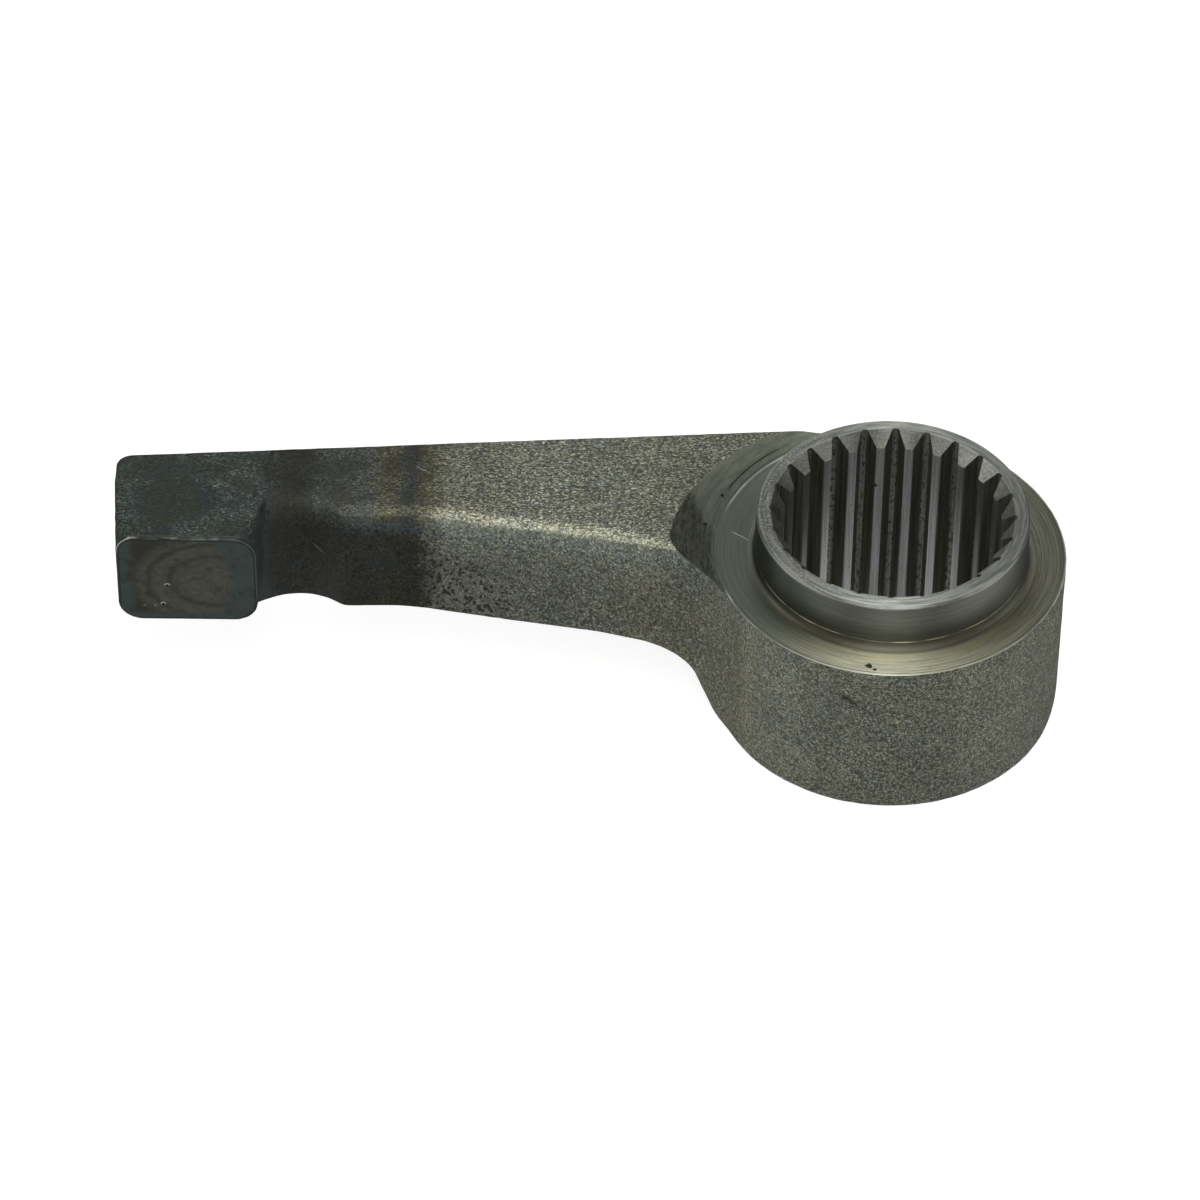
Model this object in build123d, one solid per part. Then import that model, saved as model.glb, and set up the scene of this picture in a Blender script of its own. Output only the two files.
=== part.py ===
from build123d import *
import os
from math import sin, cos, tan, radians, degrees, atan2, sqrt, pi

os.makedirs("parts", exist_ok=True)

# Clutch release lever: one steel forging, then turned and splined.
# Millimetres.  The origin is on the axis of the splined bore, in the plane of
# the hub's lower end face.  +Z runs along the bore towards the collar, and
# the arm points to -X.

# ---- hub, as forged -------------------------------------------------------
hub_r_top = 18.32        # radius where the turned shoulder meets the wall
hub_r_bottom = 18.28     # radius at the lower end face
shoulder_z = 19.49       # turned shoulder, above the lower end face
blank_z = 27.0           # height of the forging before it is faced
foot_round = 0.45        # rounding of the lower outer edge

# ---- collar and shoulder, turned ------------------------------------------
collar_r = 14.21
collar_z = 25.30
collar_break = 0.35      # small chamfer on the collar's outer edge
collar_root_r = 0.8      # tool-nose radius at the collar's foot
cut_start_r = 18.42      # where the tool starts to climb into the arm
cut_angle = 30.0         # slope of the wall that the facing tool left

# ---- splined bore ---------------------------------------------------------
teeth = 24
spline_minor_r = 11.40
spline_major_r = 12.83
land_half = radians(4.22 / 2)       # half the width of a land, at the minor radius
root_half = radians(2.38 / 2)       # half the width of a groove's floor
groove_phase = 2.69                 # first groove, degrees from +Y towards +X
mouth_r_top = 12.66                 # chamfer at the mouth of the bore, at the face
mouth_depth = 1.54
foot_depth = 0.80                   # smaller chamfer at the lower end

# ---- arm ------------------------------------------------------------------
back_slope = 0.071                  # the back face leans out by this per mm of X
back_y0 = 18.32
arm_end_x = -81.40
end_corner_r = 1.7                  # plan corner, back of the free end
end_low_r = 3.0                     # lower corner of the free end
top_back_z = 20.65                  # height of the top face along its back edge
top_draft = 0.092                   # the top face rises this much per mm to the front
arm_under_z = 8.05                  # level underside
gusset_r0 = 18.95                   # foot of the gusset on the lower face
gusset_r1 = 21.90                   # where the gusset would meet the underside
gusset_fillet = 3.6
front_blend_r = 3.2                 # plan blend between the arm's front and the hub
ridge_r = 3.3                       # rounding of the front top edge
back_edge_r = 0.5                   # the other edges of the arm
low_edge_r = 1.2                    # lower front edge
low_back_r = 0.8                    # lower back edge
scoop_c = (-61.90, -2.05)           # scoop beside the pad
scoop_r = 6.0
scoop_edge_r = 0.8                  # the scoop's far edge, where it meets the arm's front

# ---- contact pad ----------------------------------------------------------
pad_y = -1.90
pad_x0, pad_x1 = -80.65, -66.00
pad_z0, pad_z1 = 10.35, 22.05
pad_corner_r = 2.5                  # lower corners of the face
pad_top_corner_r = (1.8, 2.6)       # upper corners of the face, at the free end and towards the hub
pad_rim_r = 0.3                     # rounding of the face's edge, below and at its ends
pad_draft = 4.1
draft_depth = 10.0                  # the end's draft runs back this far
end_under_z = 9.70                  # the underside steps up towards the end

wall_draft = degrees(atan2(hub_r_top - hub_r_bottom, shoulder_z))


def back_y(x):
    return back_y0 + back_slope * x


# ---- plan outline of the forging, at the height blank_z -------------------
grow = (blank_z - shoulder_z) * tan(radians(wall_draft))
R0 = hub_r_top + grow
front = [(-57.45, 2.15), (-50.6, 2.30), (-38.6, 0.10), (-30.3, -1.35), (-24.6, -2.95)]
gx, gy = front[-1]
hx, hy = (-19.3, -4.05)
ux, uy = hx - gx, hy - gy
n = sqrt(ux * ux + uy * uy)
ux, uy = ux / n, uy / n
nx, ny = uy, -ux                    # normal of the front line, towards -Y
if ny > 0:
    nx, ny = -nx, -ny
# centre of the blend: front_blend_r off the line and off the hub's circle
px, py = gx + nx * front_blend_r, gy + ny * front_blend_r
b = px * ux + py * uy
c = px * px + py * py - (R0 + front_blend_r) ** 2
t = -b - sqrt(b * b - c)
cx, cy = px + t * ux, py + t * uy
line_end = (cx - nx * front_blend_r, cy - ny * front_blend_r)
k = R0 / (R0 + front_blend_r)
hub_start = (cx * k, cy * k)
d0 = atan2(line_end[1] - cy, line_end[0] - cx)
d1 = atan2(hub_start[1] - cy, hub_start[0] - cx)
while d1 > d0:
    d1 -= 2 * pi
while d0 - d1 > 2 * pi:
    d1 += 2 * pi
dm = (d0 + d1) / 2
blend_mid = (cx + front_blend_r * cos(dm), cy + front_blend_r * sin(dm))
# tangent point of the back line on the hub's circle
bn = sqrt(1 + back_slope ** 2)
tb = (-back_slope / bn * R0, R0 / bn)
y_end = tb[1] + (arm_end_x - tb[0]) * back_slope
a_hub0 = atan2(hub_start[1], hub_start[0])
hub_mid = (R0 * cos(radians(-45)), R0 * sin(radians(-45)))

# scoop: an arc that starts square to the pad's face and runs out over a
# convex arc, tangent to the scoop and to the arm's front
q = scoop_edge_r
ey = front[0][1] + q                # centre height of the convex arc
ex = scoop_c[0] + sqrt((scoop_r + q) ** 2 - (ey - scoop_c[1]) ** 2)
kx = scoop_r / (scoop_r + q)
scoop_out = (scoop_c[0] + (ex - scoop_c[0]) * kx, scoop_c[1] + (ey - scoop_c[1]) * kx)
convex_end = (ex, front[0][1])
ea0 = atan2(scoop_out[1] - ey, scoop_out[0] - ex)
ea1 = -pi / 2
ea = (ea0 + ea1) / 2
if ea0 > 0:
    ea = (ea0 - 2 * pi + ea1) / 2
convex_mid = (ex + q * cos(ea), ey + q * sin(ea))
scoop_in = (scoop_c[0] - sqrt(scoop_r ** 2 - (pad_y - scoop_c[1]) ** 2), pad_y)

with BuildSketch(Plane.XY.offset(blank_z)) as plan:
    with BuildLine():
        ThreePointArc(hub_start, hub_mid, tb)
        FilletPolyline(tb, (arm_end_x, y_end), (arm_end_x, pad_y), scoop_in, radius=[end_corner_r, 0])
        ThreePointArc(scoop_in, (scoop_c[0], scoop_c[1] + scoop_r), scoop_out)
        ThreePointArc(scoop_out, convex_mid, convex_end)
        FilletPolyline(convex_end, *front[1:], line_end, radius=[14.0, 40.0, 40.0, 30.0])
        ThreePointArc(line_end, blend_mid, hub_start)
    make_face()
print("plan", plan.sketch.area)

blank = extrude(plan.sketch, amount=-blank_z, taper=wall_draft)


# ---- top face: one drafted plane, falling towards the back ----------------
# z = top_back_z + top_draft * (back_y(x) - y)
def top_z(x, y):
    return top_back_z + top_draft * (back_y(x) - y)


ts = Vector(0, 0, top_z(0, 0))
tn = Vector(-top_draft * back_slope, top_draft, 1).normalized()
tx = Vector(1, 0, top_draft * back_slope).normalized()
top_plane = Plane(origin=ts, x_dir=tx, z_dir=tn)
above = top_plane * Box(240, 240, 20, align=(Align.CENTER, Align.CENTER, Align.MIN))
core = Cylinder(18.6, 40, align=(Align.CENTER, Align.CENTER, Align.MIN)).moved(Location((0, 0, 0)))
above = above - core
arm = blank - above
print("arm", arm.volume, arm.is_valid)

# ---- underside: level, with a turned-down gusset round the hub ------------
gusset_f = gusset_r0 - (gusset_r1 - gusset_r0) / arm_under_z
with BuildSketch(Plane.XZ) as under:
    with BuildLine():
        FilletPolyline((gusset_f, -1.0), (gusset_r1, arm_under_z), (120.0, arm_under_z),
                       radius=[gusset_fillet])
        Polyline((120.0, arm_under_z), (120.0, -1.0), (gusset_f, -1.0))
    make_face()
under_cut = revolve(under.sketch, axis=Axis.Z, revolution_arc=360)
arm = arm - under_cut
print("under", arm.volume, arm.is_valid)

# ---- rounded edges of the forging -----------------------------------------
def near(e, lo, hi):
    m = e @ 0.5
    return all(a <= v <= b for a, v, b in zip(lo, (m.X, m.Y, m.Z), hi))


def on_top(e):
    return all(abs((e @ t).Z - top_z((e @ t).X, (e @ t).Y)) < 0.02 for t in (0.0, 0.5, 1.0))


def low_edges():
    return [e for e in arm.edges() if e.geom_type != GeomType.CIRCLE and (e @ 0.5).Z < arm_under_z + 0.01
            and abs((e @ 0.0).Z - arm_under_z) < 0.01 and abs((e @ 1.0).Z - arm_under_z) < 0.01]


arm = fillet([e for e in low_edges() if (e @ 0.5).X > -68 and (e @ 0.5).Y < 6], low_edge_r)
arm = fillet([e for e in low_edges() if (e @ 0.5).Y > 8.5 and (e @ 0.5).X > -79], low_back_r)
print("low", arm.volume, arm.is_valid)

# the underside steps up to the pad end, whose lower corner is round
with BuildSketch(Plane.XZ) as toe:
    with BuildLine():
        FilletPolyline((-65.0, 5.0), (-65.0, arm_under_z), (-70.5, end_under_z), (arm_end_x, end_under_z),
                       (arm_end_x, 14.5), radius=[1.5, 4.0, end_low_r])
        Polyline((arm_end_x, 14.5), (-90.0, 14.5), (-90.0, 5.0), (-65.0, 5.0))
    make_face()
toe_cut = extrude(toe.sketch, amount=40, both=True)
arm = arm - toe_cut
print("toe", arm.volume, arm.is_valid, arm.solids().__len__())

ridge = [e for e in arm.edges() if on_top(e) and near(e, (-68.0, -8.0, 18.0), (-17.5, 5.0, 24.0))]
print("ridge edges", len(ridge), [tuple(round(v, 1) for v in (e @ 0.5)) for e in ridge])
arm = fillet(ridge, ridge_r)
print("ridge", arm.volume, arm.is_valid)


back_top = [e for e in arm.edges() if on_top(e) and near(e, (-81.5, 2.0, 18.0), (-5.0, 19.0, 24.0))
            and ((e @ 0.5).Y > 9 or (e @ 0.5).X < -80.5)]
print("back top edges", len(back_top))
arm = fillet(back_top, back_edge_r)
print("rounded", arm.volume, arm.is_valid)

# ---- room for the pad: the end block's own front lies behind it -----------
arm = arm - Box(30, 12, 40, align=(Align.MAX, Align.MAX, Align.MIN)).moved(Location((pad_x1 + 0.1, 2.30, 0)))
lean = tan(radians(pad_draft))
wy = pad_y + draft_depth
wedge = Polyline((pad_x0 - draft_depth * lean + 0.02, wy), (pad_x0 + 0.02, pad_y), (pad_x0 + 0.02, pad_y - 3),
                 (arm_end_x - 2, pad_y - 3), (arm_end_x - 2, wy), (pad_x0 - draft_depth * lean + 0.02, wy))
arm = arm - extrude(make_face(wedge), amount=40)
print("block", arm.volume, arm.is_valid, len(arm.solids()))

# ---- contact pad ----------------------------------------------------------
with BuildSketch(Plane(origin=(0, pad_y, 0), x_dir=(1, 0, 0), z_dir=(0, -1, 0))) as pad_face:
    with BuildLine():
        Polyline((pad_x0, pad_z0), (pad_x1, pad_z0), (pad_x1, pad_z1), (pad_x0, pad_z1), (pad_x0, pad_z0))
    make_face()
    fillet([v for v in pad_face.vertices() if v.Y < 16], pad_corner_r)
    fillet([v for v in pad_face.vertices() if v.Y > pad_z1 - 0.01 and v.X < -70], pad_top_corner_r[0])
    fillet([v for v in pad_face.vertices() if v.Y > pad_z1 - 0.01 and v.X > -68], pad_top_corner_r[1])
pad = extrude(pad_face.sketch, amount=-8.0, taper=-pad_draft)
print("pad", pad.bounding_box(), pad.is_valid)
rim = [e for e in pad.edges() if abs((e @ 0.5).Y - pad_y) < 0.01 and (e @ 0.5).Z < pad_z1 - 0.01]
try:
    pad = fillet(rim, pad_rim_r)
    print("pad rim", len(rim), pad.is_valid)
except Exception:
    print("pad rim left sharp")
pad = pad - top_plane * Box(240, 240, 20, align=(Align.CENTER, Align.CENTER, Align.MIN))
forging = arm + pad
print("forging", forging.volume, forging.is_valid, len(forging.solids()), forging.bounding_box())

# ---- turning: shoulder, collar and the wall cut into the arm ---------------
far = 34.0
wall_z = shoulder_z + (far - cut_start_r) * tan(radians(cut_angle))
with BuildSketch(Plane.XZ) as turn:
    with BuildLine():
        Polyline((collar_r - collar_break, collar_z + 10), (collar_r - collar_break, collar_z),
                 (collar_r, collar_z - collar_break), (collar_r, shoulder_z + collar_root_r))
        RadiusArc((collar_r, shoulder_z + collar_root_r), (collar_r + collar_root_r, shoulder_z), -collar_root_r)
        Polyline((collar_r + collar_root_r, shoulder_z), (cut_start_r, shoulder_z), (far, wall_z), (far, collar_z + 10), (collar_r - collar_break, collar_z + 10))
    make_face()
turn_cut = revolve(turn.sketch, axis=Axis.Z, revolution_arc=360)
lever = forging - turn_cut
lever = lever - Cylinder(40, 10, align=(Align.CENTER, Align.CENTER, Align.MIN)).moved(Location((0, 0, collar_z)))
print("turned", lever.volume, lever.is_valid, len(lever.solids()), lever.bounding_box())

# ---- splined bore ----------------------------------------------------------
pts = []
for i in range(teeth):
    g = radians(90.0 - (groove_phase + i * 360.0 / teeth))
    half = pi / teeth
    pts += [(spline_minor_r * cos(g + half - land_half), spline_minor_r * sin(g + half - land_half)),
            (spline_major_r * cos(g + root_half), spline_major_r * sin(g + root_half)),
            (spline_major_r * cos(g - root_half), spline_major_r * sin(g - root_half)),
            (spline_minor_r * cos(g - half + land_half), spline_minor_r * sin(g - half + land_half))]
pts.append(pts[0])
with BuildSketch(Plane.XY.offset(-1.0)) as spline:
    with BuildLine():
        Polyline(*pts)
    make_face()
bore = extrude(spline.sketch, amount=collar_z + 2.0)
lever = lever - bore
print("bored", lever.volume, lever.is_valid)

# chamfers at both ends of the bore
m = Cone(spline_minor_r, mouth_r_top, mouth_depth, align=(Align.CENTER, Align.CENTER, Align.MIN))
lever = lever - m.moved(Location((0, 0, collar_z - mouth_depth)))
m = Cone(spline_minor_r + foot_depth, spline_minor_r, foot_depth, align=(Align.CENTER, Align.CENTER, Align.MIN))
lever = lever - m
print("mouth", lever.volume, lever.is_valid)

# rounded lower edge of the hub
rim = [e for e in lever.edges() if abs((e @ 0.5).Z) < 0.01 and abs((e @ 0).Z) < 0.01
       and abs(sqrt((e @ 0.5).X ** 2 + (e @ 0.5).Y ** 2) - hub_r_bottom) < 0.05 and (e @ 0.5).X > 0]
print("foot", len(rim), [round(e.length, 1) for e in rim])
try:
    lever = fillet(rim, foot_round)
except Exception:
    print("foot left sharp")
print("footed", lever.volume, lever.is_valid)

lever = lever.solids()[0] if len(lever.solids()) == 1 else lever
print("final", lever.volume, lever.is_valid, lever.bounding_box())
export_step(lever, "parts/release_lever.step")
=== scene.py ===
import math

import bmesh
import bpy
import numpy as np
from mathutils import Matrix, Vector


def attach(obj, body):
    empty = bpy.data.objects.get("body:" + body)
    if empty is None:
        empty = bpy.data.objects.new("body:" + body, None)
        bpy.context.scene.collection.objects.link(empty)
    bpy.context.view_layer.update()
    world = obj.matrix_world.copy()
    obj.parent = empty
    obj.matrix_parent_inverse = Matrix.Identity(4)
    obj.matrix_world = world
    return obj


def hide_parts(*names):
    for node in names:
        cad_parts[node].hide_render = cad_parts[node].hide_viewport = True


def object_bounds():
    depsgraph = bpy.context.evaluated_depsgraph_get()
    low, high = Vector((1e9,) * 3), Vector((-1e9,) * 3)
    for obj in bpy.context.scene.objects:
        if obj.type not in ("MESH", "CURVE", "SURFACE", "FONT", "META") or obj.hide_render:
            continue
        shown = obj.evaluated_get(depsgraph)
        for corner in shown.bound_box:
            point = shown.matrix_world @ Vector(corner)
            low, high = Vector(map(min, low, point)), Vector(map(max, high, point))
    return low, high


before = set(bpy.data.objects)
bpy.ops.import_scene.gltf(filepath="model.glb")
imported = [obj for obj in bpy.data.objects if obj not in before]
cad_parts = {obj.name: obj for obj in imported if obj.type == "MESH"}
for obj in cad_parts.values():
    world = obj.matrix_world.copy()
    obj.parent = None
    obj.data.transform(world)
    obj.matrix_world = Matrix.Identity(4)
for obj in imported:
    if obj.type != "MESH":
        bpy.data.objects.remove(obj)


def plain(b):
    return [[float(v) for v in c] for c in b]


cad_bounds = plain(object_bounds())
MM = 0.001

# ---------------------------------------------------------------------------
# camera: fitted to the circles of the hub
# ---------------------------------------------------------------------------
cam_data = bpy.data.cameras.new("camera")
cam = bpy.data.objects.new("camera", cam_data)
bpy.context.scene.collection.objects.link(cam)
right = Vector((0.9999338, 0.0079975, 0.0082716)).normalized()
fwd = Vector((0.0, 0.7189174, -0.6950955)).normalized()
up = right.cross(fwd).normalized()
right = fwd.cross(up).normalized()
m = Matrix((
    (right.x, up.x, -fwd.x, -30.2488 * MM),
    (right.y, up.y, -fwd.y, -480.7134 * MM),
    (right.z, up.z, -fwd.z, 476.9254 * MM),
    (0, 0, 0, 1)))
cam.matrix_world = m
cam_data.sensor_width = 36.0
cam_data.lens = 191.16
cam_data.clip_start = 0.01
cam_data.clip_end = 50
bpy.context.scene.camera = cam

# ---------------------------------------------------------------------------
# sizes, in millimetres, as in the CAD
# ---------------------------------------------------------------------------
HUB_R = 18.30
SHOULDER_Z = 19.49
COLLAR_R = 14.21
COLLAR_Z = 25.30
CUT_R = 18.42
BACK_SLOPE = 0.071
BACK_Y0 = 18.37
END_X = -81.25
TOP_Z = 20.65
TOP_DRAFT = 0.092
UNDER_Z = 8.05
GUSSET = (18.58, 21.90)          # radius at z = 0, and at the underside
PAD_Y = -1.90
PAD_X0, PAD_X1, PAD_Z0, PAD_Z1 = -80.65, -66.00, 10.35, 22.05
PAD_DRAFT = math.tan(math.radians(4.1))
SCOOP = (-61.90, -2.05, 6.0)


# ---------------------------------------------------------------------------
# small numeric helpers
# ---------------------------------------------------------------------------
def smooth(a, b, x):
    t = np.clip((x - a) / (b - a), 0.0, 1.0)
    return t * t * (3.0 - 2.0 * t)


def rmax(a, b, r):
    """Intersection of two solids with their edge rounded to radius r."""
    u = np.maximum(a + r, 0.0)
    v = np.maximum(b + r, 0.0)
    return np.minimum(-r, np.maximum(a, b)) + np.sqrt(u * u + v * v)


def rmin(a, b, r):
    """Union of two solids with a hollow fillet of radius r."""
    u = np.maximum(r - a, 0.0)
    v = np.maximum(r - b, 0.0)
    return np.maximum(r, np.minimum(a, b)) - np.sqrt(u * u + v * v)


def hash3(i, j, k, seed):
    h = (i * 374761393 + j * 668265263 + k * 2147483647 + seed * 1274126177) & 0xFFFFFFFF
    h = ((h ^ (h >> 13)) * 1274126177) & 0xFFFFFFFF
    h = ((h ^ (h >> 16)) * 2246822519) & 0xFFFFFFFF
    return ((h ^ (h >> 15)) & 0xFFFFFF) / float(0xFFFFFF)


def vnoise(p, size, seed):
    """Value noise from 0 to 1; size is the cell in millimetres, one number or three."""
    q = p / np.asarray(size, float)
    i = np.floor(q).astype(np.int64)
    f = q - i
    f = f * f * f * (f * (f * 6 - 15) + 10)
    out = 0.0
    for dx in (0, 1):
        wx = f[:, 0] if dx else 1 - f[:, 0]
        for dy in (0, 1):
            wy = f[:, 1] if dy else 1 - f[:, 1]
            for dz in (0, 1):
                wz = f[:, 2] if dz else 1 - f[:, 2]
                out = out + wx * wy * wz * hash3(i[:, 0] + dx, i[:, 1] + dy, i[:, 2] + dz, seed)
    return out


# ---------------------------------------------------------------------------
# the forging, as a distance field
# ---------------------------------------------------------------------------
_fx = np.arange(-90.0, 0.0, 0.05)
_fy = np.interp(_fx, [-90.0, -57.45, -50.6, -38.6, -30.3, -24.6, 0.0],
                [2.15, 2.15, 2.30, 0.10, -1.35, -2.95, -8.10])
_k = np.exp(-0.5 * (np.arange(-60, 61) * 0.05 / 1.0) ** 2)
_k /= _k.sum()
_fs = np.convolve(np.pad(_fy, 60, mode="edge"), _k, mode="valid")
_fd = np.gradient(_fs, _fx)


def plan(x, y):
    """Distance outside the plan outline, without the pad."""
    back = (y - BACK_Y0 - BACK_SLOPE * x) / math.sqrt(1 + BACK_SLOPE ** 2)
    end = PAD_X0 - np.clip(y - PAD_Y, 0.0, 10.0) * PAD_DRAFT - x
    fy = np.interp(x, _fx, _fs)
    fd = np.interp(x, _fx, _fd)
    front = (fy - y) / np.sqrt(1 + fd * fd)
    cut = SCOOP[2] - np.hypot(x - SCOOP[0], y - SCOOP[1])
    # left of the scoop the block's own front lies just behind the pad
    lim = np.where(x < SCOOP[0], 0.05, 0.8)
    front = rmax(front, cut, lim)
    arm = rmax(rmax(back, end, 1.7), front, 0.1)
    # the back runs out where it is tangent to the hub
    arm = np.maximum(arm, x + 1.30)
    hub = np.hypot(x, y) - HUB_R
    r = 0.01 + 3.19 * smooth(5.0, -1.0, y)
    return rmin(arm, hub, r)


def top_plane(x, y, z):
    return (z - TOP_Z - TOP_DRAFT * (BACK_Y0 - 0.05 + BACK_SLOPE * x - y)) / math.sqrt(1 + TOP_DRAFT ** 2)


def pad_dish(x, z):
    """Depth of the wear in the pad's face."""
    u = (x + 73.6) / 1.0
    w = (z - 15.6) / 1.0
    # worn ground, left of the flat strip
    edge = smooth(-68.4, -70.6, x + 0.25 * np.sin(z * 1.3))
    d = 0.05 * edge
    # arcs of the work that rolled on it, centred right of the middle
    rho = np.hypot((x + 70.6) * 0.92, (z - 15.9) * 1.25)
    wave = 0.035 * np.sin(rho * 3.1 + 0.8) + 0.03 * np.sin(rho * 1.55 - 0.7)
    d = d + edge * wave * smooth(2.0, 4.0, rho)
    d = d + 0.10 * edge * smooth(7.8, 5.0, rho)
    # fades out at the rim
    rim = np.minimum.reduce([x - PAD_X0 - 0.5, z - PAD_Z0 - 0.5, np.full_like(x, 9.0)])
    return np.clip(d, 0.0, 0.3) * smooth(0.1, 1.1, rim)


def field(p):
    """Distance outside the forging, p in millimetres."""
    x, y, z = p[:, 0], p[:, 1], p[:, 2]
    r = np.hypot(x, y)
    s = plan(x, y)
    top = top_plane(x, y, z)
    # underside: level, with the gusset round the hub
    lean = (GUSSET[1] - GUSSET[0]) / UNDER_Z
    g = (r - GUSSET[0] - lean * z) / math.sqrt(1 + lean * lean)
    under = rmin(UNDER_Z - z, g, 3.6)
    # step up to the pad end
    slope = 1.65 / 5.5
    ramp = (UNDER_Z + slope * (-65.0 - x) - z) / math.sqrt(1 + slope * slope)
    toe = rmin(ramp, 9.70 - z, 1.5)
    under = rmax(under, toe, 0.6)
    # rounding radii
    frontness = smooth(11.8, 8.6, y)
    ridge = 3.3 - 1.2 * smooth(-27.0, -19.0, x)
    ridge = 0.1 + (ridge - 0.1) * smooth(-66.2, -65.2, x)
    ridge = 0.5 + (ridge - 0.5) * frontness
    ridge = ridge + (0.45 - ridge) * smooth(-80.2, -80.7, x)
    ridge = np.where(r < 18.6, 0.5, ridge)
    low = 0.8 + 0.4 * frontness
    low = low + (0.45 - low) * smooth(-66.5, -69.5, x)
    tip = PAD_X0 - np.clip(y - PAD_Y, 0.0, 10.0) * PAD_DRAFT
    u = np.maximum(tip + 3.0 - x, 0.0)
    w = np.maximum(12.7 - z, 0.0)
    toe_end = np.where(u > 0, np.hypot(u, w) - 3.0, -3.0)
    body = rmax(s, top, ridge)
    body = rmax(body, under, low)
    # the round lower corner of the free end
    body = np.maximum(body, toe_end)
    core = np.maximum(s, np.maximum(r - 18.6, z - 26.6))
    f = np.minimum(body, core)
    f = np.maximum(f, rmax(s, under, low))
    # pad
    depth = np.clip(y - PAD_Y, 0.0, 8.0)
    cx, hx = (PAD_X0 + PAD_X1) / 2, (PAD_X1 - PAD_X0) / 2
    hz = (PAD_Z1 - PAD_Z0) / 2
    cz = PAD_Z0 + hz
    cr = np.where(z > cz, np.where(x > cx, 2.6, 1.8), 2.5)
    qx = np.abs(x - cx) - hx + cr
    qz = np.abs(z - cz) - hz + cr
    side = np.hypot(np.maximum(qx, 0), np.maximum(qz, 0)) + np.minimum(np.maximum(qx, qz), 0) - cr
    side = (side - depth * PAD_DRAFT) * math.cos(math.radians(4.5))
    side = np.maximum(side, tip - x)
    face = PAD_Y + pad_dish(x, z) - y
    pad = rmax(side, face, 0.30)
    pad = rmax(pad, top, 0.16)
    pad = np.maximum(pad, y - 7.0)
    f = rmin(f, pad, 0.01 + 0.34 * smooth(0.2, 1.5, -top) * smooth(-79.5, -78.5, x))
    # foot
    f = rmax(f, -z, 0.45)
    return f


def net(h):
    """Surface net of the field on a grid of pitch h."""
    lo = np.array([-82.6, -19.6, -1.3])
    hi = np.array([19.7, 19.6, 27.6])
    n = np.ceil((hi - lo) / h).astype(int) + 1
    gx = lo[0] + h * np.arange(n[0])
    gy = lo[1] + h * np.arange(n[1])
    gz = lo[2] + h * np.arange(n[2])
    f = np.empty(n, np.float32)
    yy, zz = np.meshgrid(gy, gz, indexing="ij")
    for i, x in enumerate(gx):
        p = np.stack([np.full(yy.size, x), yy.ravel(), zz.ravel()], 1)
        f[i] = field(p).reshape(yy.shape)
    inside = f < 0
    # cells that the surface passes through
    c = np.zeros(n - 1, np.int8)
    for dx in (0, 1):
        for dy in (0, 1):
            for dz in (0, 1):
                c += inside[dx:n[0] - 1 + dx, dy:n[1] - 1 + dy, dz:n[2] - 1 + dz]
    act = (c > 0) & (c < 8)
    ci, cj, ck = np.nonzero(act)
    idx = -np.ones(n - 1, np.int64)
    idx[ci, cj, ck] = np.arange(len(ci))
    acc = np.zeros((len(ci), 3))
    cnt = np.zeros(len(ci))
    corners = [(a, b, d) for a in (0, 1) for b in (0, 1) for d in (0, 1)]
    for a in corners:
        for ax in range(3):
            if a[ax]:
                continue
            b = list(a)
            b[ax] = 1
            fa = f[ci + a[0], cj + a[1], ck + a[2]]
            fb = f[ci + b[0], cj + b[1], ck + b[2]]
            hit = (fa < 0) != (fb < 0)
            t = np.where(hit, fa / np.where(hit, fa - fb, 1.0), 0.0)
            q = np.array(a, float)[None, :].repeat(len(ci), 0)
            q[:, ax] += t
            acc += q * hit[:, None]
            cnt += hit
    v = acc / cnt[:, None]
    v = lo + h * (np.stack([ci, cj, ck], 1) + v)
    quads = []
    for ax in range(3):
        a1, a2 = (ax + 1) % 3, (ax + 2) % 3
        s0 = [slice(None)] * 3
        s1 = [slice(None)] * 3
        s0[ax] = slice(0, n[ax] - 1)
        s1[ax] = slice(1, n[ax])
        e = inside[tuple(s0)] != inside[tuple(s1)]
        e[tuple(slice(0, 1) if k == a1 else slice(None) for k in range(3))] = False
        e[tuple(slice(0, 1) if k == a2 else slice(None) for k in range(3))] = False
        i, j, k = np.nonzero(e)
        g = np.stack([i, j, k], 1)
        flip = inside[i, j, k]
        d1 = np.zeros(3, int)
        d1[a1] = 1
        d2 = np.zeros(3, int)
        d2[a2] = 1

        def at(o):
            return idx[o[:, 0], o[:, 1], o[:, 2]]
        q = np.stack([at(g - d1 - d2), at(g - d2), at(g), at(g - d1)], 1)
        q = np.where(flip[:, None], q, q[:, ::-1])
        quads.append(q)
    return v, np.concatenate(quads)


def grad(p, e=0.02):
    g = np.zeros_like(p)
    for a in range(3):
        d = np.zeros(3)
        d[a] = e
        g[:, a] = (field(p + d) - field(p - d)) / (2 * e)
    n = np.linalg.norm(g, axis=1, keepdims=True)
    return g / np.maximum(n, 1e-6), n[:, 0]


def settle(v, rounds=3):
    for _ in range(rounds):
        g, n = grad(v)
        v = v - g * np.clip(field(v) / np.maximum(n, 0.3), -0.25, 0.25)[:, None]
    return v


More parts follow.
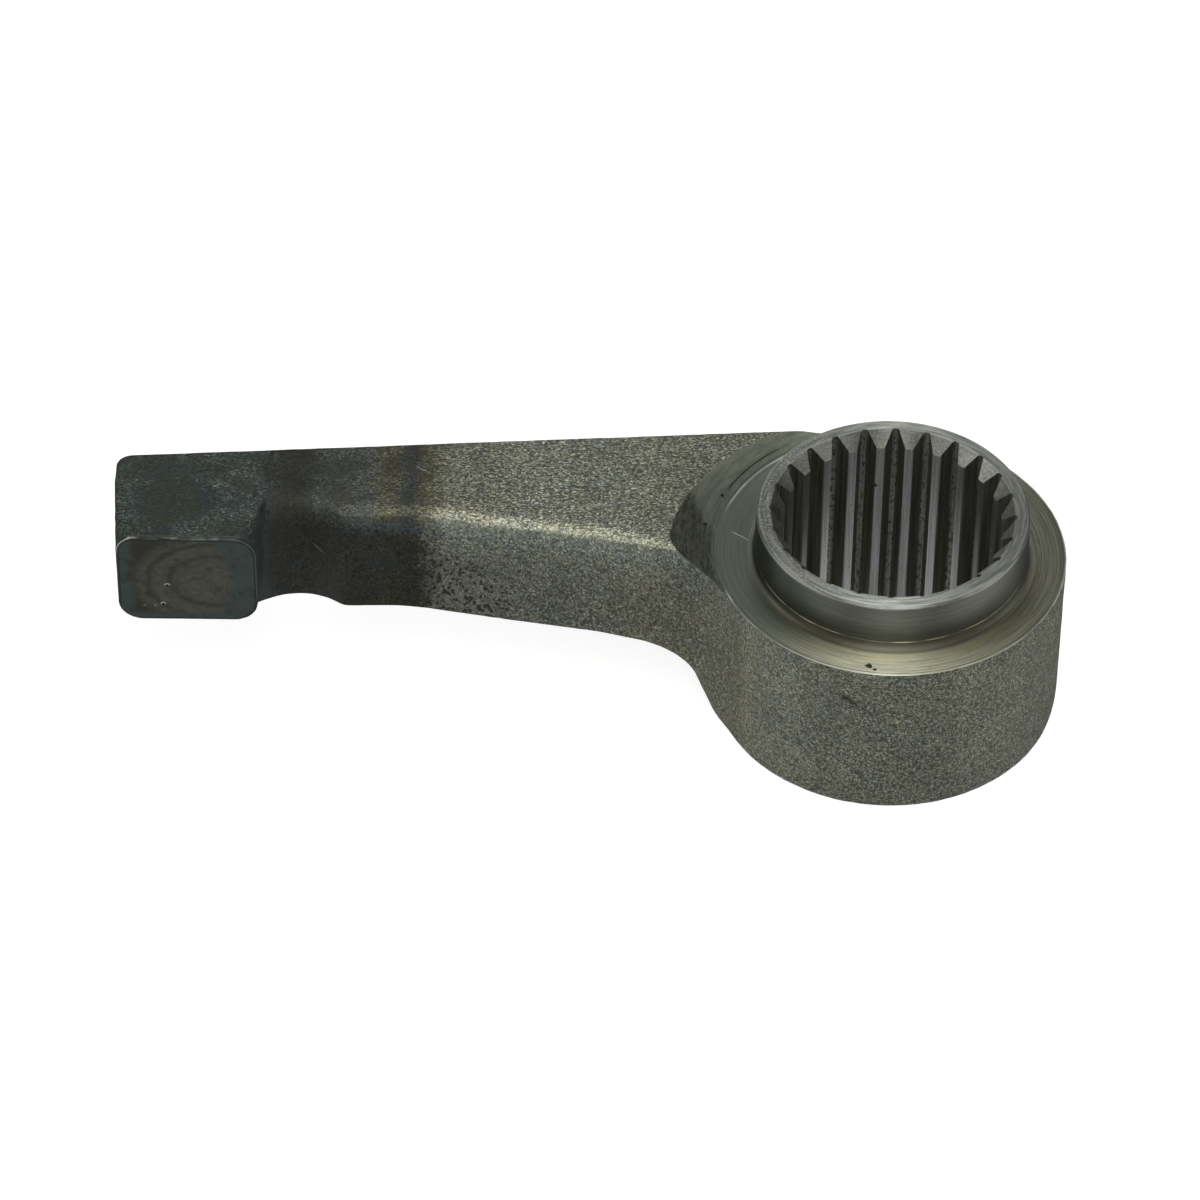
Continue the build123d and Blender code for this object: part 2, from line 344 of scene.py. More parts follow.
def make_mesh(name, verts, faces):
    me = bpy.data.meshes.new(name)
    me.from_pydata([], [], [])
    verts = np.asarray(verts, np.float32)
    me.vertices.add(len(verts))
    me.vertices.foreach_set("co", verts.ravel())
    if isinstance(faces, np.ndarray):
        sizes = np.full(len(faces), faces.shape[1], np.int32)
        loops = faces.ravel().astype(np.int32)
    else:
        sizes = np.array([len(f) for f in faces], np.int32)
        loops = np.array([i for f in faces for i in f], np.int32)
    me.loops.add(len(loops))
    me.loops.foreach_set("vertex_index", loops)
    me.polygons.add(len(sizes))
    me.polygons.foreach_set("loop_start", np.concatenate([[0], np.cumsum(sizes)[:-1]]).astype(np.int32))
    me.polygons.foreach_set("loop_total", sizes)
    me.update(calc_edges=True)
    me.validate()
    ob = bpy.data.objects.new(name, me)
    bpy.context.scene.collection.objects.link(ob)
    return ob


PITCH = 0.335
verts, quads = net(PITCH)
verts = settle(verts)
normals, _ = grad(verts)


# ---------------------------------------------------------------------------
# skin of the forging: scale marks and pits, always cut inwards
# ---------------------------------------------------------------------------
def rough_spots():
    """Centres, radii and depths of the pits that shot-blasting left, in mm."""
    rng = np.random.default_rng(5815)
    out = []
    # gouge on the hub's front wall, and its tail
    for k, w in enumerate((0.20, 0.30, 0.38, 0.42, 0.40, 0.34, 0.28, 0.22)):
        x = -5.6 + 0.30 * k
        y = -math.sqrt(HUB_R ** 2 - x * x)
        out.append((x, y, 15.95 - 0.20 * k, w, 0.14))
    for x, z, w in ((-2.9, 14.2, 0.3), (-2.5, 14.0, 0.25), (-2.2, 13.6, 0.2), (-6.3, 16.2, 0.2)):
        out.append((x, -math.sqrt(HUB_R ** 2 - x * x), z, w, 0.08))
    # larger dents on top of the arm
    for _ in range(60):
        x = rng.uniform(-78.0, -20.0)
        y = rng.uniform(3.0, 15.0)
        z = TOP_Z + TOP_DRAFT * (BACK_Y0 + BACK_SLOPE * x - y)
        out.append((x, y, z, rng.uniform(0.2, 0.4), rng.uniform(0.02, 0.05)))
    return np.array(out)


SPOTS = rough_spots()


def pits(p):
    """Depth of the pits at p, and how dark they are."""
    deep = np.zeros(len(p))
    dark = np.zeros(len(p))
    order = np.argsort(p[:, 0])
    xs = p[order, 0]
    for x, y, z, r, d in SPOTS:
        a, b = np.searchsorted(xs, (x - 1.6 * r, x + 1.6 * r))
        k = order[a:b]
        q = p[k] - (x, y, z)
        t = np.sqrt((q ** 2).sum(1)) / r
        h = np.clip(1.25 - t, 0.0, 1.0)
        h = h * h * (3 - 2 * h)
        deep[k] = np.maximum(deep[k], d * h)
        dark[k] = np.maximum(dark[k], np.clip(h * 1.3, 0, 1) * min(1.0, d / 0.08))
    return deep, dark


def skin(p):
    x, y, z = p[:, 0], p[:, 1], p[:, 2]
    d = 0.035 * vnoise(p, (7.0, 5.0, 4.0), 11)
    d = d + 0.030 * vnoise(p, (2.4, 1.9, 1.7), 12)
    d = d + 0.034 * vnoise(p, (0.95, 0.72, 0.72), 13)
    # the pad's face is rolled smooth
    face = smooth(0.5, 0.1, np.abs(y - PAD_Y)) * smooth(-66.0, -66.4, x)
    d = d * (1 - 0.8 * face)
    deep, dark = pits(p)
    return d + deep, dark


depth, _ = skin(verts)
verts = verts - normals * depth[:, None]
lo_box, hi_box = [np.array(c) * 1000 for c in cad_bounds]
verts = np.clip(verts, lo_box + (0.0, 0.0, -9.0), hi_box + (0.0, 0.0, 9.0))
forged = make_mesh("lever", verts * MM, quads)

# ---------------------------------------------------------------------------
# cutting tools
# ---------------------------------------------------------------------------
SEG = 288


def revolve(name, profile, seg=SEG, phase=0.0):
    """Solid of revolution; profile from the axis, round and back to it, as (r, z)."""
    prof = [(r, z) for r, z in profile]
    vs, fs = [], []
    ring = []
    for r, z in prof:
        if r < 1e-9:
            ring.append([len(vs)] * seg)
            vs.append((0.0, 0.0, z))
        else:
            base = len(vs)
            for k in range(seg):
                a = phase + 2 * math.pi * k / seg
                vs.append((r * math.cos(a), r * math.sin(a), z))
            ring.append(list(range(base, base + seg)))
    for a, b in zip(ring[:-1], ring[1:]):
        for k in range(seg):
            q = [a[k], a[(k + 1) % seg], b[(k + 1) % seg], b[k]]
            f = []
            for i in q:
                if i not in f:
                    f.append(i)
            if len(f) > 2:
                fs.append(f)
    return make_mesh(name, np.array(vs) * MM, fs)


def subtract(target, tool):
    mod = target.modifiers.new("cut", "BOOLEAN")
    mod.operation = "DIFFERENCE"
    mod.object = tool
    mod.solver = "MANIFOLD"
    dg = bpy.context.evaluated_depsgraph_get()
    me = bpy.data.meshes.new_from_object(target.evaluated_get(dg))
    target.modifiers.clear()
    old = target.data
    target.data = me
    bpy.data.meshes.remove(old)
    bpy.data.objects.remove(tool)


# the turning tool's path: collar, root radius, shoulder, and the wall in the arm
RR = 0.8
profile = [(0.0, COLLAR_Z), (COLLAR_R - 0.34, COLLAR_Z), (COLLAR_R - 0.20, COLLAR_Z - 0.05),
           (COLLAR_R - 0.02, COLLAR_Z - 0.30), (COLLAR_R, COLLAR_Z - 0.40), (COLLAR_R, SHOULDER_Z + 0.88), (COLLAR_R - 0.03, SHOULDER_Z + 0.84)]
for k in range(0, 9):
    a = math.pi + (math.pi / 2) * k / 8
    profile.append((COLLAR_R + RR + RR * math.cos(a), SHOULDER_Z - 0.02 + RR + RR * math.sin(a)))
rng = np.random.default_rng(77)
r = COLLAR_R + RR + 0.22
profile.append((r, SHOULDER_Z - 0.02))
r += 0.16
profile.append((r, SHOULDER_Z - 0.01))
while r < CUT_R - 0.34:
    r += rng.uniform(0.14, 0.30)
    profile.append((min(r, CUT_R - 0.2), SHOULDER_Z - rng.uniform(0.0, 0.018)))
profile.append((CUT_R, SHOULDER_Z + 0.0))
TAN = math.tan(math.radians(30.0))
r = CUT_R
while r < 24.6:
    r += rng.uniform(0.22, 0.42)
    profile.append((r, SHOULDER_Z + (r - CUT_R) * TAN - rng.uniform(0.0, 0.03)))
profile += [(34.0, SHOULDER_Z + (34.0 - CUT_R) * TAN), (34.0, 40.0), (0.0, 40.0)]
subtract(forged, revolve("turning_tool", profile))

# spline
TEETH = 24
MINOR, MAJOR = 11.40, 12.83
pts = []
for i in range(TEETH):
    g = math.radians(90.0 - (2.69 + i * 360.0 / TEETH))
    half = math.pi / TEETH
    lh, rh = math.radians(2.11), math.radians(1.19)
    fr = MINOR + 0.10
    row = [(MINOR, half - lh + math.radians(0.0)), (fr + 0.02, half - lh - math.radians(0.28)),
           (MAJOR - 0.12, rh + math.radians(0.30)), (MAJOR, rh - math.radians(0.18))]
    for rr, aa in row + [(a, -b) for a, b in row[::-1]]:
        pts.append((rr * math.cos(g + aa), rr * math.sin(g + aa)))
pts = pts[::-1]
n = len(pts)
levels = [-1.0, COLLAR_Z + 1.0]
vs = [(x, y, z) for z in levels for x, y in pts]
fs = [[k, (k + 1) % n, n + (k + 1) % n, n + k] for k in range(n)]
fs += [list(range(n))[::-1], [n + k for k in range(n)]]
subtract(forged, make_mesh("spline_tool", np.array(vs) * MM, fs))

mouth = [(0.0, COLLAR_Z - 3.0), (MINOR - 1.2, COLLAR_Z - 1.54 - 1.47), (12.66, COLLAR_Z), (12.66 + 0.82, COLLAR_Z + 1.0),
         (0.0, COLLAR_Z + 1.0)]
subtract(forged, revolve("mouth_tool", mouth, seg=TEETH * 10))
foot = [(0.0, -1.0), (MINOR + 0.8 + 1.0, -1.0), (MINOR - 0.4, 1.2), (0.0, 1.2)]
subtract(forged, revolve("foot_tool", foot, seg=TEETH * 10))

# ---------------------------------------------------------------------------
# which faces were forged, turned or broached
# ---------------------------------------------------------------------------
# the cuts leave a few points almost on top of each other
bm = bmesh.new()
bm.from_mesh(forged.data)
bmesh.ops.remove_doubles(bm, verts=bm.verts, dist=3e-7)
bmesh.ops.dissolve_verts(bm, verts=[v for v in bm.verts if len(v.link_edges) == 2])
bm.to_mesh(forged.data)
bm.free()

me = forged.data
npoly = len(me.polygons)
cen = np.empty(npoly * 3)
me.polygons.foreach_get("center", cen)
cen = cen.reshape(-1, 3) * 1000
nor = np.empty(npoly * 3)
me.polygons.foreach_get("normal", nor)
nor = nor.reshape(-1, 3)
rc = np.hypot(cen[:, 0], cen[:, 1])
wall = SHOULDER_Z + (rc - CUT_R) * TAN
turned = (rc < CUT_R + 0.01) & (cen[:, 2] > SHOULDER_Z - 0.14) & (rc > MAJOR)
turned |= (rc >= CUT_R) & (rc < 30) & (np.abs(cen[:, 2] - wall) < 0.05) & (nor[:, 2] > 0.5)
turned &= ~((rc > 18.0) & (rc < CUT_R - 0.02) & (nor[:, 2] < 0.5))
bore = (rc < MAJOR + 0.05)
mouth_f = bore & (cen[:, 2] > COLLAR_Z - 1.6) & (nor[:, 2] > 0.5)
region = np.zeros(npoly, np.int32)
region[turned] = 1
region[bore] = 2
region[mouth_f] = 1
me.materials.clear()


# ---------------------------------------------------------------------------
# node helpers
# ---------------------------------------------------------------------------
class Tree:
    def __init__(self, name):
        self.mat = bpy.data.materials.new(name)
        self.mat.use_nodes = True
        self.t = self.mat.node_tree
        self.t.nodes.clear()
        self.out = self.t.nodes.new("ShaderNodeOutputMaterial")
        self.bsdf = self.t.nodes.new("ShaderNodeBsdfPrincipled")
        self.t.links.new(self.bsdf.outputs[0], self.out.inputs[0])
        tc = self.t.nodes.new("ShaderNodeTexCoord")
        self.p = self.vmath("SCALE", tc.outputs["Object"], scale=1000.0)   # millimetres
        self.nrm = tc.outputs["Normal"]
        sep = self.t.nodes.new("ShaderNodeSeparateXYZ")
        self.link(self.p, sep.inputs[0])
        self.x, self.y, self.z = sep.outputs

    def link(self, a, b):
        self.t.links.new(a, b)

    def put(self, sock, v):
        if isinstance(v, bpy.types.NodeSocket):
            self.link(v, sock)
        else:
            sock.default_value = v

    def math(self, op, a, b=0.0, c=0.0, clamp=False):
        n = self.t.nodes.new("ShaderNodeMath")
        n.operation = op
        n.use_clamp = clamp
        for s, v in zip(n.inputs, (a, b, c)):
            self.put(s, v)
        return n.outputs[0]

    def vmath(self, op, a, b=None, scale=None):
        n = self.t.nodes.new("ShaderNodeVectorMath")
        n.operation = op
        self.put(n.inputs[0], a)
        if b is not None:
            self.put(n.inputs[1], b)
        if scale is not None:
            self.put(n.inputs["Scale"], scale)
        return n.outputs[0]

    def combine(self, x, y, z):
        n = self.t.nodes.new("ShaderNodeCombineXYZ")
        for s, v in zip(n.inputs, (x, y, z)):
            self.put(s, v)
        return n.outputs[0]

    def noise(self, vec, scale, detail=2.0, rough=0.5, lac=2.0, dist=0.0, dims="3D", w=None):
        n = self.t.nodes.new("ShaderNodeTexNoise")
        n.noise_dimensions = dims
        if vec is not None:
            self.put(n.inputs["Vector"], vec)
        if w is not None:
            self.put(n.inputs["W"], w)
        n.inputs["Scale"].default_value = scale
        n.inputs["Detail"].default_value = detail
        n.inputs["Roughness"].default_value = rough
        n.inputs["Lacunarity"].default_value = lac
        n.inputs["Distortion"].default_value = dist
        return n.outputs[0]

    def voronoi(self, vec, scale, feature="F1", rand=1.0):
        n = self.t.nodes.new("ShaderNodeTexVoronoi")
        n.feature = feature
        self.put(n.inputs["Vector"], vec)
        n.inputs["Scale"].default_value = scale
        n.inputs["Randomness"].default_value = rand
        return n.outputs["Distance"]

    def ramp(self, fac, stops, mode="LINEAR"):
        """Piecewise value or colour: stops are (position, value)."""
        n = self.t.nodes.new("ShaderNodeValToRGB")
        n.color_ramp.interpolation = mode
        self.put(n.inputs[0], fac)
        el = n.color_ramp.elements
        while len(el) > 1:
            el.remove(el[-1])
        for k, (pos, v) in enumerate(stops):
            e = el[0] if k == 0 else el.new(pos)
            e.position = pos
            e.color = (v, v, v, 1) if not isinstance(v, tuple) else (*v, 1)
        return n.outputs[0]

    def step(self, v, a, b, lo=0.0, hi=1.0):
        """Smooth step of v from a to b."""
        n = self.t.nodes.new("ShaderNodeMapRange")
        n.interpolation_type = "SMOOTHSTEP"
        self.put(n.inputs["Value"], v)
        n.inputs["From Min"].default_value = a
        n.inputs["From Max"].default_value = b
        n.inputs["To Min"].default_value = lo
        n.inputs["To Max"].default_value = hi
        return n.outputs[0]

    def mix(self, fac, a, b, kind="MIX"):
        n = self.t.nodes.new("ShaderNodeMix")
        n.data_type = "RGBA"
        n.blend_type = kind
        n.clamp_factor = True
        self.put(n.inputs[0], fac)
        for s, v in ((n.inputs[6], a), (n.inputs[7], b)):
            self.put(s, (*v, 1) if isinstance(v, tuple) else v)
        return n.outputs[2]

    def vmath_len(self, a, b):
        """Distance between a (three values or sockets) and the point b."""
        v = self.combine(*a)
        n = self.t.nodes.new("ShaderNodeVectorMath")
        n.operation = "DISTANCE"
        self.link(v, n.inputs[0])
        n.inputs[1].default_value = b
        return n.outputs["Value"]

    def scratch(self, col, at, along, across, half, width, tint):
        """A straight scratch centred at a point; along and across are unit vectors in the surface."""
        d = self.vmath("SUBTRACT", self.p, at)

        def dot(v):
            n = self.t.nodes.new("ShaderNodeVectorMath")
            n.operation = "DOT_PRODUCT"
            self.link(d, n.inputs[0])
            n.inputs[1].default_value = v
            return self.math("ABSOLUTE", n.outputs["Value"])
        m = self.math("MULTIPLY", self.step(dot(along), half, half * 0.5), self.step(dot(across), width, width * 0.3))
        near = self.vmath_len((self.x, self.y, self.z), at)
        m = self.math("MULTIPLY", m, self.step(near, half + 1.5, half + 0.8))
        return self.mix(m, col, tint)

    def attr(self, name):
        n = self.t.nodes.new("ShaderNodeAttribute")
        n.attribute_name = name
        return n.outputs["Fac"]

    def bump(self, height, dist_mm, strength=1.0, normal=None):
        n = self.t.nodes.new("ShaderNodeBump")
        n.inputs["Strength"].default_value = strength
        n.inputs["Distance"].default_value = dist_mm * MM
        self.put(n.inputs["Height"], height)
        if normal is not None:
            self.put(n.inputs["Normal"], normal)
        return n.outputs[0]


# ---------------------------------------------------------------------------
# forged skin, blackened at the hardened end
# ---------------------------------------------------------------------------
def forged_material():
    t = Tree("forged_steel")
    n = t.t.nodes.new("ShaderNodeSeparateXYZ")
    t.link(t.nrm, n.inputs[0])
    nx, ny, nz = n.outputs
    # on top the marks are drawn out along the arm
    flat = t.step(nz, 0.70, 0.97)
    warp = t.noise(t.p, 1.3, 1.0)
    warp2 = t.noise(t.p, 1.7, 1.0, 0.5)
    warp = t.vmath("SCALE", t.combine(warp, warp2, t.math("SUBTRACT", 1.0, warp)), scale=0.55)

    def marks(kx, ky):
        q = t.vmath("ADD", t.combine(t.math("MULTIPLY", t.x, kx), t.math("MULTIPLY", t.y, ky), t.math("MULTIPLY", t.z, ky)), warp)
        g = t.noise(q, 2.9, 2.5, 0.62)
        a = t.voronoi(q, 2.7)
        b = t.voronoi(t.vmath("ADD", q, (7.3, 3.1, 5.7)), 3.9)
        gate = t.noise(t.vmath("ADD", q, (1.3, 4.1, 2.7)), 2.2, 1.0, 0.5)
        fa = t.math("MULTIPLY", t.step(a, 0.44, 0.20), t.step(gate, 0.46, 0.58))
        fb = t.math("MULTIPLY", t.step(b, 0.44, 0.20), t.step(gate, 0.52, 0.40, 0.0, 0.85))
        v = t.noise(t.vmath("ADD", q, (3.7, 9.1, 1.9)), 2.6, 1.0, 0.5)
        v = t.math("SUBTRACT", 1.0, t.math("ABSOLUTE", t.math("SUBTRACT", t.math("MULTIPLY", v, 2.0), 1.0)))
        w = t.math("MULTIPLY", t.math("POWER", v, 16.0), t.step(g, 0.44, 0.58, 0.0, 0.9))
        h = t.math("ADD", t.math("MULTIPLY", t.math("ADD", fa, fb), 0.20), t.math("MULTIPLY", w, 0.16))
        return g, t.math("MAXIMUM", t.math("MAXIMUM", fa, fb), w), h
    m0, m1 = marks(1.1, 1.1), marks(0.78, 1.35)
    grain, rim, dents = [t.math("ADD", a, t.math("MULTIPLY", flat, t.math("SUBTRACT", b, a))) for a, b in zip(m0, m1)]
    fine = t.noise(t.p, 6.0, 2.0, 0.6)
    patch = t.noise(t.p, 0.16, 3.0, 0.6)
    hue = t.noise(t.p, 0.9, 3.0, 0.6)
    height = t.math("ADD", dents, t.math("ADD", t.math("MULTIPLY", grain, 0.40), t.math("MULTIPLY", fine, 0.20)))

    # bare steel
    bare = t.mix(t.step(grain, 0.34, 0.66), (0.076, 0.082, 0.065), (0.180, 0.195, 0.155))
    # bright flecks on the rims of the marks: the skin's grain, with painted glints, painted brighter on the top than on
    # the walls
    bare = t.mix(t.math("MULTIPLY", rim, 0.85), bare, t.mix(flat, (0.58, 0.61, 0.50), (1.0, 1.0, 0.82)))
    bare = t.mix(1.0, bare, t.mix(t.step(hue, 0.40, 0.60), (0.955, 0.99, 1.02), (1.03, 0.995, 0.94)), "MULTIPLY")
    bare = t.mix(t.step(patch, 0.40, 0.62), bare, t.mix(1.0, bare, (0.84, 0.86, 0.88), "MULTIPLY"))
    # painted light: the top is darker towards both ends and brightest round the middle of the arm
    top_light_falloff = t.math("MULTIPLY", t.step(t.math("ABSOLUTE", t.math("ADD", t.x, 32.7)), 5.0, 9.5), flat)
    bare = t.mix(t.math("MULTIPLY", top_light_falloff, 0.95), bare, t.mix(1.0, bare, (0.85, 0.845, 0.83), "MULTIPLY"))
    # the rounded front edge: a painted highlight along it, and a painted bluish reflection in a band under it
    ridge_highlight = t.math("MULTIPLY", t.step(nz, 0.72, 0.82), t.step(nz, 0.985, 0.94))
    ridge_highlight = t.math("MULTIPLY", ridge_highlight, t.step(ny, -0.05, -0.2))
    bare = t.mix(t.math("MULTIPLY", ridge_highlight, 0.6), bare, t.mix(1.0, bare, (1.75, 1.72, 1.55), "MULTIPLY"))
    bare = t.mix(t.math("MULTIPLY", ridge_highlight, t.math("MAXIMUM", rim, t.step(grain, 0.52, 0.66, 0.0, 0.35))), bare, (0.98, 0.97, 0.80))
    under = t.math("MULTIPLY", t.step(nz, 0.05, 0.30), t.step(nz, 0.72, 0.50))
    bare = t.mix(t.math("MULTIPLY", under, 0.7), bare, t.mix(1.0, bare, (0.86, 0.93, 1.02), "MULTIPLY"))
    singe = t.step(t.x, -45.8, -48.6)
    bare = t.mix(t.math("MULTIPLY", singe, t.step(ny, -0.8, -0.3, 0.25, 1.0)), bare, t.mix(1.0, bare, (0.54, 0.505, 0.41), "MULTIPLY"))
    bare = t.mix(t.math("MULTIPLY", t.step(t.x, -20.0, -12.0), t.step(nz, 0.6, 0.3)), bare, t.mix(1.0, bare, (0.93, 0.915, 0.895), "MULTIPLY"))
    # brownish skin where the arm runs into the hub
    brown = t.math("MULTIPLY", t.step(t.x, -31.0, -25.0), t.step(t.x, -12.0, -16.0))
    brown = t.math("MULTIPLY", brown, t.math("MULTIPLY", t.step(t.z, 19.0, 15.0), t.step(ny, -0.2, -0.5)))
    bare = t.mix(t.math("MULTIPLY", brown, 0.75), bare, t.mix(1.0, bare, (1.04, 0.95, 0.86), "MULTIPLY"))
    wall = t.math("MULTIPLY", t.step(ny, -0.5, -0.8), t.math("MULTIPLY", t.step(t.x, -24.0, -30.0), t.step(t.z, 17.5, 15.5)))
    bare = t.mix(wall, bare, t.mix(1.0, bare, (0.90, 0.89, 0.90), "MULTIPLY"))
    # the blend is darker than the arm, and painted light makes the hub beside it brighter
    blend_darker = t.math("MULTIPLY", t.step(ny, -0.05, -0.2), t.math("MULTIPLY", t.step(t.x, -14.8, -16.2), t.step(t.x, -28.0, -23.0)), clamp=True)
    bare = t.mix(blend_darker, bare, t.mix(1.0, bare, (0.87, 0.875, 0.89), "MULTIPLY"))
    painted_hub_light = t.math("MULTIPLY", t.step(ny, -0.2, -0.45), t.math("MULTIPLY", t.step(t.x, -16.0, -14.8), t.step(t.x, -6.0, -12.0)), clamp=True)
    bare = t.mix(painted_hub_light, bare, t.mix(1.0, bare, (1.13, 1.14, 1.15), "MULTIPLY"))
    # small sharp pits, close together beside the hardened end
    pq = t.vmath("ADD", t.combine(t.x, t.y, t.math("ADD", t.math("MULTIPLY", t.z, 0.7), t.math("MULTIPLY", t.x, -0.25))), warp)
    pv = t.math("ADD", t.voronoi(pq, 2.0), t.math("MULTIPLY", t.math("SUBTRACT", t.noise(t.p, 2.8, 2.0, 0.6), 0.5), 0.85))
    zone = t.math("MULTIPLY", t.step(ny, -0.35, -0.7), t.math("MULTIPLY", t.step(t.x, -52.5, -50.5), t.step(t.z, 18.2, 16.0)))
    zone = t.math("MULTIPLY", zone, t.step(t.math("ADD", t.x, t.math("MULTIPLY", t.math("SUBTRACT", patch, 0.5), 12.0)), -36.0, -46.0, 0.12, 1.0))
    bare = t.mix(t.math("MULTIPLY", zone, 0.42), bare, (0.150, 0.154, 0.138))
    sparse = t.math("MULTIPLY", t.step(ny, -0.5, -0.8), t.math("MULTIPLY", t.step(t.x, -22.0, -28.0), t.step(t.z, 16.5, 14.5)), clamp=True)
    speck = t.math("MULTIPLY", t.step(pv, 0.42, 0.30), t.math("ADD", zone, t.math("ADD", 0.05, t.math("MULTIPLY", sparse, 0.30))), clamp=True)
    bare = t.mix(t.math("MULTIPLY", speck, 0.82), bare, (0.028, 0.028, 0.023))
    height = t.math("SUBTRACT", height, t.math("MULTIPLY", speck, 0.6))
    pit = t.attr("pit")
    bare = t.mix(t.math("MULTIPLY", pit, 0.85), bare, (0.020, 0.020, 0.017))

    # tempering colours along the arm
    wob = t.math("MULTIPLY", t.math("SUBTRACT", t.noise(t.p, 0.55, 3.0, 0.6), 0.5), 2.0)
    wob2 = t.math("MULTIPLY", t.math("SUBTRACT", fine, 0.5), 1.0)
    u = t.math("ADD", t.math("ADD", t.x, wob), wob2)
    edge_n = t.math("ADD", t.math("MULTIPLY", t.math("SUBTRACT", grain, 0.5), 3.0), t.math("MULTIPLY", t.math("SUBTRACT", t.noise(t.p, 0.7, 3.0, 0.65), 0.5), 5.0))
    f = t.math("DIVIDE", t.math("ADD", u, 84.0), 40.0)       # 0 at -84, 1 at -44

    def at(x):
        return (x + 84.0) / 40.0
    temper = t.ramp(f, [
        (at(-82.0), (0.040, 0.048, 0.038)),
        (at(-72.0), (0.038, 0.048, 0.040)),
        (at(-66.5), (0.040, 0.049, 0.043)),
        (at(-65.0), (0.030, 0.032, 0.025)),
        (at(-61.0), (0.030, 0.031, 0.024)),
        (at(-59.0), (0.045, 0.049, 0.040)),
        (at(-54.0), (0.055, 0.058, 0.047)),
        (at(-52.3), (0.057, 0.054, 0.038)),
        (at(-51.2), (0.046, 0.050, 0.044)),
        (at(-49.7), (0.036, 0.038, 0.033)),
        (at(-49.0), (0.060, 0.053, 0.034)),
        (at(-48.0), (0.110, 0.108, 0.078))])
    # painted shade: from x -60 on, the walls take an even dark colour in place of the temper colours the top shows
    temper = t.mix(t.math("MULTIPLY", t.step(nz, 0.65, 0.25), t.step(t.x, -60.0, -56.0)), temper, (0.033, 0.035, 0.028))
    dark = t.mix(t.step(grain, 0.32, 0.68), t.mix(1.0, temper, (0.55, 0.55, 0.55), "MULTIPLY"), t.mix(1.0, temper, (1.5, 1.52, 1.5), "MULTIPLY"))
    # painted shade: the walls darker than the top
    dark = t.mix(1.0, dark, t.mix(flat, (0.80, 0.80, 0.78), (1.0, 1.0, 1.0)), "MULTIPLY")
    # brown and bluish clouds on the oxide
    cloud = t.noise(t.p, 0.30, 3.0, 0.55, dist=0.4)
    dark = t.mix(t.math("MULTIPLY", t.step(cloud, 0.54, 0.70), 0.45), dark, (0.046, 0.038, 0.024))
    dark = t.mix(t.math("MULTIPLY", t.step(cloud, 0.47, 0.32), 0.45), dark, (0.030, 0.046, 0.050))
    # glints on the drawn-out marks of the top
    gq = t.math("ADD", t.noise(t.p, 0.34, 2.0, 0.5, dist=0.3), t.math("MULTIPLY", t.step(t.x, -60.0, -56.0), 0.05))
    gq = t.math("ADD", gq, t.math("MULTIPLY", t.step(t.vmath_len((t.x, t.y, 0.0), (-66.8, 2.2, 0.0)), 4.0, 1.0), 0.16))
    gq = t.math("ADD", gq, t.math("MULTIPLY", t.step(t.vmath_len((t.x, t.y, 0.0), (-68.5, 10.5, 0.0)), 4.5, 1.5), 0.12))
    oval = t.math("SQRT", t.math("ADD", t.math("POWER", t.math("ABSOLUTE", t.math("DIVIDE", t.math("ADD", t.x, 75.5), 3.5)), 2.0),
                                 t.math("POWER", t.math("ABSOLUTE", t.math("DIVIDE", t.math("SUBTRACT", t.y, 5.0), 4.9)), 2.0)))
    oval = t.math("ADD", oval, t.math("MULTIPLY", t.math("SUBTRACT", t.noise(t.p, 0.35, 3.0, 0.6), 0.5), 0.9))
    inside = t.math("MULTIPLY", t.step(oval, 1.02, 0.86), flat)
    band = t.math("MULTIPLY", t.step(t.x, -65.9, -63.2), t.step(t.x, -59.8, -61.6))
    calm = t.math("MULTIPLY", t.math("SUBTRACT", 1.0, t.math("MULTIPLY", inside, 0.72)), t.math("SUBTRACT", 1.0, t.math("MULTIPLY", band, 0.85)))
    glint = t.math("MULTIPLY", t.math("MULTIPLY", rim, t.step(gq, 0.42, 0.68, 0.22, 1.0)), t.math("MULTIPLY", calm, t.step(nz, 0.3, 0.9, 0.15, 1.0)))
    gcol = t.ramp(f, [(at(-82.0), (0.24, 0.30, 0.28)), (at(-55.0), (0.25, 0.285, 0.275)), (at(-53.2), (0.36, 0.325, 0.205)),
                      (at(-51.6), (0.36, 0.325, 0.205)), (at(-50.6), (0.17, 0.20, 0.21)), (at(-49.6), (0.17, 0.195, 0.20)),
                      (at(-48.9), (0.36, 0.32, 0.21))])
    dark = t.mix(t.math("MULTIPLY", inside, 0.5), dark, t.mix(t.step(grain, 0.3, 0.7), (0.034, 0.041, 0.032), (0.052, 0.061, 0.048)))
    halo = t.math("MULTIPLY", t.math("MULTIPLY", t.step(oval, 0.86, 1.0), t.step(oval, 1.30, 1.10)), flat)
    dark = t.mix(t.math("MULTIPLY", halo, 0.6), dark, (0.028, 0.042, 0.046))
    dark = t.mix(glint, dark, gcol)
    # worn crest, and the bluish band below it
    dark = t.mix(t.math("MULTIPLY", t.math("MULTIPLY", ridge_highlight, t.step(t.x, -61.0, -56.5)), t.math("MAXIMUM", rim, t.step(grain, 0.54, 0.70, 0.0, 0.4))), dark, t.mix(t.step(t.x, -55.0, -52.5), (0.26, 0.265, 0.215), (0.46, 0.42, 0.28)))
    ub = t.math("MULTIPLY", t.math("MULTIPLY", under, t.step(t.x, -58.0, -54.0)), t.step(grain, 0.40, 0.60))
    dark = t.mix(t.math("MULTIPLY", ub, 0.7), dark, (0.062, 0.082, 0.098))
